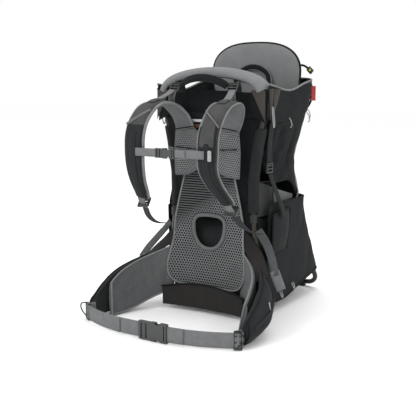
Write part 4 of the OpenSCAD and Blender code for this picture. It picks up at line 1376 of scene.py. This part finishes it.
def cushion(name, outline, y0, y1, mat, crown, body, replaces, cap=4.0, edge=None,
            wrinkle=1.0):
    """A flat stuffed pad in the XZ plane, its front face towards -Y."""
    rings = arch_rows(outline)
    n = len(rings)
    front, back = [], []
    for k, ring in enumerate(rings):
        t = k / (n - 1)
        f = crown * (1 - (1 - min(1.0, t * 2.2)) ** 2) if crown else 0
        front.append([(x, y0 + crown - f, z) for x, z in ring])
        back.append([(x, y1 - 1.0 + f * 0.25 - crown * 0.25, z) for x, z in ring])
    ob = shell(name, front, back, [mat], wrap=True, planar=(0, 2))
    ripple(ob, wrinkle, 48, 17.0)
    puff(ob, cap, list(range(RING)) + [n * RING + j for j in range(RING)], 3.0)
    finish_piece(ob, body, replaces)
    if edge:
        path = [(x, (y0 + y1) / 2 - 1, z) for x, z in rings[0]]
        ob = tube(name + "_piping", path, edge[1], [edge[0]], closed=True, sides=8)
        finish_piece(ob, body, sub=0)


def child_seat():
    """The child's seat, backrest, halo and sunshade pouch."""
    out = arch(139, 594, 634, 716, waist=[(114, 534), (117, 566), (136, 586)])
    cushion("headrest_cover", out, 251, 269, M["headrest"], 5.0, "pack", ["headrest"],
            edge=(M["dark_piping"], 3.0), wrinkle=0.8)
    cushion("sunshade_pouch_cloth", arch(123, 577, 636, 705), 271.5, 293, M["black"], 4.0, "pack",
            ["sunshade_pouch"], edge=(M["dark_piping"], 2.2), wrinkle=2.0)
    cushion("child_backrest_pad", arch(97, 355, 470, 525), 241, 253, M["charcoal"], 3.5, "pack",
            ["child_backrest"], edge=(M["dark_piping"], 2.0), cap=3.0)
    loop = smooth([(-34, 299, 664), (-31, 306, 688), (0, 310, 704), (31, 306, 688), (34, 299, 664)], 7)
    add_tube("rear_loop_cord", loop, 3.4, "dark_webbing", replaces=["rear_handle"], sides=10)
    halo = [(34, 229, 400), (40, 230, 460), (47, 232, 530), (54, 238, 590), (48, 243, 626), (26, 245, 644)]
    path = smooth([(-x, y, z) for x, y, z in halo] + [(0, 245, 650)] + halo[::-1], 6)
    d = np.gradient(path, axis=0)
    d /= np.linalg.norm(d, axis=1, keepdims=True)
    across = np.cross(d, [0, 1, 0])
    add_tape("halo_pad", path, across, 15, 8, "plain", replaces=["child_halo"], fill=0.6, n=8, sub=1,
             crown=0.2)
    for j in (-1, 1):
        edge = path + j * 7.6 * across + (0, -1.2, 0)
        add_tube("halo_piping_%s" % ("in" if j < 0 else "out"), edge, 1.5, "webbing")
    # seat
    front, back = [], []
    for i in range(25):
        u = i / 24
        y = 60 + 172 * u
        half = table([[0, 51], [0.5, 57], [1, 90]], u)
        a, b = [], []
        for k in range(21):
            v = k / 10 - 1
            z = 322 + 30 * (1 - u) ** 3 + 14 * v * v * u
            a.append((half * v, y, z + 5.5))
            b.append((half * v, y, z - 5.5))
        front.append(a)
        back.append(b)
    ob = shell("seat_cushion", front, back, [M["inside"]])
    puff(ob, 4.0, rim_ids(25, 21), 3.0)
    finish_piece(ob, "seat", ["seat_pad"])
    edge = [a[0] for a in front] + list(front[-1][1:])
    edge += [a[-1] for a in front[::-1][1:]] + list(front[0][::-1][1:-1])
    edge = [np.array(p) - (0, 0, 5.5) for p in edge]
    add_tube("seat_cushion_piping", edge, 2.0, "dark_piping", "seat", closed=True)
    for side, s in SIDES:
        for nm, run in (("upper", [(159, 60, 506), (150.5, 64, 450), (147, 68, 405)]),
                        ("lower", [(147, 74, 375), (154, 82, 346), (163, 89, 316), (174, 94, 284),
                                   (177.5, 97, 262)])):
            p = smooth(mx(run, s), 8)
            add_tape("stirrup_%s_%s" % (nm, side), p, (0, 1, 0), 24 if nm == "upper" else 22, 2.0,
                     "dark_webbing", replaces=["stirrup_straps"] if s > 0 and nm == "upper" else [])
        # zip pull of the sunshade pouch
        run = smooth(mx([(122, 286, 654), (132, 291, 653), (142, 292, 648), (150, 291, 642)], s), 4)
        add_tape("pouch_pull_" + side, run, (0, 0.2, 1), 6, 2.4, "dark_webbing")
        run = mx([(147, 290.5, 646), (152, 290, 641), (160, 289, 634)], s)
        add_tape("pouch_tab_" + side, run, (s * 0.6, 0, 0.8), 15, 4.0, "plastic")
        dot = mx([(153.5, 288.6, 640), (153.5, 286.2, 640)], s)
        add_tube("pouch_tab_dot_" + side, dot, 3.6, "lime", sides=12)
        # cord loops on the seam under the collar
        for j, (x, y, z) in enumerate(((162, 150, 508), (151, 284, 526), (147, 290, 516))):
            d = np.array([0.9, 0.35, 0]) if j else np.array([1.0, 0, 0])
            run = [np.array((x, y, z)) + d * a + np.array((0, b, c)) for a, b,
                   c in ((0, -4, 9), (5, -3, 3), (7, 0, -6), (6, 3, -14), (2, 2, -18))]
            add_tube("seam_loop_%s_%d" % (side, j), smooth(mx(run, s), 5), 1.4, "cord", sides=6)


# ---------------------------------------------------------------- hip belt

WING_LOW = [(125, -18, 44), (148, -48, 30), (168, -86, 14), (181, -126, 7), (188, -162, 5), (189, -202, 4)]
WING_TOP = [(112, 1, 170), (150, -32, 150), (177, -72, 132), (193, -114, 112), (199, -148, 88),
            (200, -186, 60)]


def row_at(p, u):
    """A wing outline's point at one place."""
    if u < 0:       # the root tucks in behind the back panel
        tuck = np.array((104, -6, 44) if p is WING_LOW else (92, 13, 172), float)
        return np.array(p[0]) + (tuck - np.array(p[0])) * min(1.0, -u / 0.12)
    n = len(p)
    s = max(0.0, min(1.0, u)) * (n - 1)
    i = min(int(s), n - 2)
    t = s - i
    a, b, c, d = (np.array(p[max(0, min(n - 1, j))], float) for j in (i - 1, i, i + 1, i + 2))
    return 0.5 * (2 * b + (c - a) * t + (2 * a - 5 * b + 4 * c - d) * t * t
                  + (3 * b - a - 3 * c + d) * t ** 3)


def wing(u, v, out):
    """A point of the hip wing's surface."""
    a, b = row_at(WING_LOW, u), row_at(WING_TOP, u)
    d = (row_at(WING_LOW, u + 0.02) - row_at(WING_LOW, u - 0.02)
         + row_at(WING_TOP, u + 0.02) - row_at(WING_TOP, u - 0.02))
    n = np.array([-d[1], d[0], 0.0])
    n /= np.linalg.norm(n)
    return a + (b - a) * v - out * n if np.dot(n, a - (0, a[1], 0)) < 0 else a + (b - a) * v + out * n


def pocket_skin(u, v, extra=0.0):
    """A point of the hip pocket's surface."""
    full = (34 * sinp(0.05 + 0.77 * u, 0.7) * sinp((0.03 + 0.94 * v) ** 0.8, 0.55)
            + 16 * sinp(min(1.0, u * 1.1)) * (1 - u) * sinp(v, 0.6))
    return wing(0.16 + 0.84 * u, 0.02 + 0.95 * v, 25 + full + extra)


def hip_belt():
    """The wings, pockets and webbing of the hip belt."""
    for side, s in SIDES:
        m, n = 40, 18
        inner, outer = [], []
        for i in range(m + 1):
            u = -0.12 + 0.92 * i / m
            a, b = [], []
            for k in range(n + 1):
                v = k / n
                a.append(wing(u, v, 1.5) * (s, 1, 1))
                b.append(wing(u, v, 18 * (0.5 + 0.45 * sinp(v, 0.5)) - 1.0) * (s, 1, 1))
            inner.append(a)
            outer.append(b)
        ob = shell("hip_pad_%s_mesh" % side, inner, outer, [M["mesh"], M["plain"]], back_mat=1)
        pins = set(rim_ids(m + 1, n + 1))
        for i in range(17, 29):      # the dart that lets the pad wrap the hip
            pins.add(i * (n + 1) + int(round(n * 0.44)))
        puff(ob, 3.5, sorted(pins), 3.2)
        finish_piece(ob, "pack", ["hip_pad_" + side])
        border = [c[0] for c in inner[6:]] + inner[-1][1:] + [c[-1] for c in inner[::-1][1:-6]]
        add_tube("hip_pad_%s_binding" % side, border, 2.4, "piping")
        seam = [wing(-0.12 + 0.92 * (17 + 11 * t) / m, 0.44, -0.4) * (s, 1, 1)
                for t in np.linspace(0, 1, 14)]
        stitches("hip_pad_%s_dart" % side, [(seam, (-s, -0.5, 0.2))], "pack",
                 M["dark_thread"], length=3.2)
        # pocket
        front, back = [], []
        for i in range(41):
            a, b = [], []
            for k in range(23):
                u, v = i / 40, k / 22
                p = pocket_skin(u, v, -1.5)
                # two ribs gather the cloth towards the tip
                p = p + np.array([1.0, 0.2, 0]) * 1.6 * math.sin(v * 16 + u * 3) * sinp(u,
                        0.8) * (0.4 + 0.6 * (1 - v))
                a.append(p * (s, 1, 1))
                b.append(wing(0.16 + 0.84 * u, 0.02 + 0.95 * v, 19.5) * (s, 1, 1))
            front.append(a)
            back.append(b)
        ob = shell("hip_pocket_%s_cloth" % side, front, back, [M["charcoal"]])
        ripple(ob, 1.6, 40, 21.0 + s)
        finish_piece(ob, "pack", ["hip_pocket_" + side])
        for nm, row in (("upper", [c[-1] for c in front]), ("lower", [c[0] for c in front]),
                        ("tip", front[-1])):
            add_tube("hip_pocket_%s_%s_seam" % (side, nm), row, 1.9, "dark_piping")
        run = [pocket_skin(u, 0.62, 0.6) * (s, 1, 1) for u in np.linspace(0.08, 0.9, 40)]
        up = [(pocket_skin(u, 0.66) - pocket_skin(u, 0.58)) * (s, 1, 1) for u in np.linspace(0.08, 0.9, 40)]
        add_tape("hip_pocket_%s_zip" % side, run, up, 8, 1.8, "dark_webbing")
        teeth = [p + 0.6 * np.array([s, 0, 0]) for p in run]
        stitches("hip_pocket_%s_teeth" % side, [(teeth, (s, 0, 0))], "pack", M["dark_thread"],
                 pitch=1.9, length=1.0, r=1.5)
        # webbing
        curve = [(80, -265), (112, -261), (145, -253), (176, -242), (198, -232), (211, -225.5)]
        start = 62 if s > 0 else 14
        pts = [(start, -266), (start + 8, -266)] + [tuple(p[:2])
                                                    for p in smooth([(x, y, 0) for x, y in curve], 5)]
        path = [(s * x, y, 24.0) for x, y in pts]
        ob = tape("hip_webbing_%s_tape" % side, path, (0, 0, 1), 38, 2.2, [M["webbing"]], n=10)
        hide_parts("hip_webbing_" + side)
        if s > 0:
            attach(ob, "pack")
        else:       # the left half is baked in place
            tuple(W((-182, -240, 24)))
            tuple(W((-98, -263, 24)))
            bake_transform(ob)
        near = "pack" if s > 0 else "hip_tongue"
        tail = [(p[0], p[1] - 2.6, 24.0) for p in path if (s > 0 and 62 <= p[0] < 108)
                or (s < 0 and -96 < p[0] < -26)]
        add_tape("hip_webbing_%s_fold" % side, tail, (0, 0, 1), 37, 2.0, "webbing", near, n=8)
        end = tail[-1]
        box = [([(end[0] - s * 6, end[1] - 1.2, 24 + q) for q in np.linspace(-15, 15, 20)], (0, -1, 0)),
               ([(end[0] - s * 12, end[1] - 1.2, 24 + q) for q in np.linspace(-15, 15, 20)], (0, -1, 0))]
        stitches("hip_webbing_%s_bartack" % side, box, near, M["dark_thread"], pitch=2.2,
                 length=1.7)
        loop = smooth(mx([(222, -222, 48), (236, -226, 46), (243, -223, 34), (238, -220, 20),
                          (225, -220, 10)], s), 5)
        add_tube("belt_cord_loop_" + side, loop, 1.7, "dark_webbing", sides=6)
        # webbing that comes out of the pocket to the adjuster
        run = [(s * 211, -226.5, 24), (s * 219, -222, 24), (s * 228, -217, 24), (s * 232, -209, 24),
               (s * 226, -201, 24), (s * 216, -194, 25)]
        add_tape("hip_anchor_" + side, smooth(run, 5), (0, 0, 1), 38, 2.0, "webbing", n=8)
        st = smooth(mx([(137, 32, 232), (150, 33, 215), (166, 28, 196), (183, 17, 173), (197, 4, 151),
                        (207, -7, 130)], s), 6)
        add_tape("hip_stabilizer_" + side, st, (0.55 * s, 0.4, 0.75), 22, 2.0, "mid_webbing",
                 replaces=["hip_stabilizers"] if s > 0 else [])
        tab = smooth(mx([(203, -2, 140), (212, -5, 124), (219, -5, 108), (223, -2, 94)], s), 5)
        add_tape("hip_stabilizer_tab_" + side, tab, (0.6 * s, 0.5, 0.6), 25, 2.6, "webbing")
        # flap of brown cloth that closes the wing's top against the frame
        top = smooth(mx([(103, 12, 232), (122, 22, 214), (148, 20, 186), (172, 6, 160), (194, -14, 130)],
                        s), 5)
        low = smooth(mx([(103, 6, 186), (116, 6, 174), (140, -12, 158), (162, -34, 142), (182, -56, 118)],
                        s), 5)
        grid = [[top[i] + (low[i] - top[i]) * t + (s * 5 * math.sin(math.pi * t), 4 * math.sin(math.pi * t),
                                                   3 * math.sin(math.pi * t))
                                                   for t in np.linspace(0, 1, 9)] for i in range(len(top))]
        add_cloth("hip_flap_" + side, grid, 2.2, "lumbar", folds=[(1.2, 40, 41.0 + s)])
        add_tube("hip_flap_%s_binding" % side, top, 1.8, "dark_piping")


# ---------------------------------------------------------------- the rigid pieces

def paint(names, mat, bevel=0.0):
    """Gives CAD nodes a material and rounded edges."""
    for name in names:
        ob = NODES[name]
        ob.data.materials.clear()
        ob.data.materials.append(mat)
        if bevel:
            m = ob.modifiers.new("bevel", "BEVEL")
            m.width = bevel
            m.segments = 2
            m.limit_method = "ANGLE"
            m.angle_limit = math.radians(30)


def rigid():
    """The materials of the hard parts."""
    paint(["frame_hoop", "cockpit_hoop", "seat_hoop", "kickstand_tube"], M["tube"])
    paint(["hoop_joiners", "kickstand_hubs", "kickstand_lugs"], M["housing"], 0.0012)
    paint(["adjuster_plate"], M["lock"], 0.0008)
    paint(["child_buckle", "stirrup_locks", "strap_locks", "load_lifter_locks", "hip_adjusters"],
          M["plastic"], 0.0008)
    paint(["hip_socket", "hip_tongue", "sternum_socket", "sternum_tongue"], M["lock"], 0.0011)
    paint(["front_feet", "kickstand_feet"], M["rubber"], 0.0015)
    paint(["pivot_pins", "pocket_slider_left", "pocket_slider_right"], M["silver"], 0.0004)
    paint(["red_adjuster"], M["red"], 0.0015)


def studio():
    """The white floor and the world round it."""
    me = bpy.data.meshes.new("floor")
    me.from_pydata([(-14, -14, 0), (14, -14, 0), (14, 14, 0), (-14, 14, 0)], [], [(0, 1, 2, 3)])
    floor = bpy.data.objects.new("floor", me)
    n = Nodes("floor_white")
    colour = n.mix(n.noise(n.obj()[0], 3.0), (0.985, 0.985, 0.985, 1), (1.0, 1.0, 1.0, 1))
    me.materials.append(n.done(colour, 0.9, spec=0.1))
    bpy.context.scene.collection.objects.link(floor)
    world = bpy.data.worlds.new("world")
    world.use_nodes = True
    world.node_tree.nodes["Background"].inputs[0].default_value = (1, 1, 1, 1)
    world.node_tree.nodes["Background"].inputs[1].default_value = 1.0
    bpy.context.scene.world = world
    area("key", (-1.2, -2.6, 2.6), (0, 0, 0.35), 1.6, 42)
    area("side", (2.8, -1.2, 1.9), (0, 0, 0.35), 1.4, 9)
    area("top", (0.2, 0.8, 3.0), (0, 0, 0.3), 2.0, 30)
    bpy.context.scene.view_settings.view_transform = "Standard"


back_panel()
lumbar()
drool_pad()
front_panel()
grab_handle()
for _side, _s in SIDES:
    shoulder_strap(_side, _s)
yoke()
harness_webbing()
sternum()
collars()
side_walls()
rear_wall()
adjuster_strap()
sleeves()
storage()
child_seat()
hip_belt()
rigid()
studio()
settle()
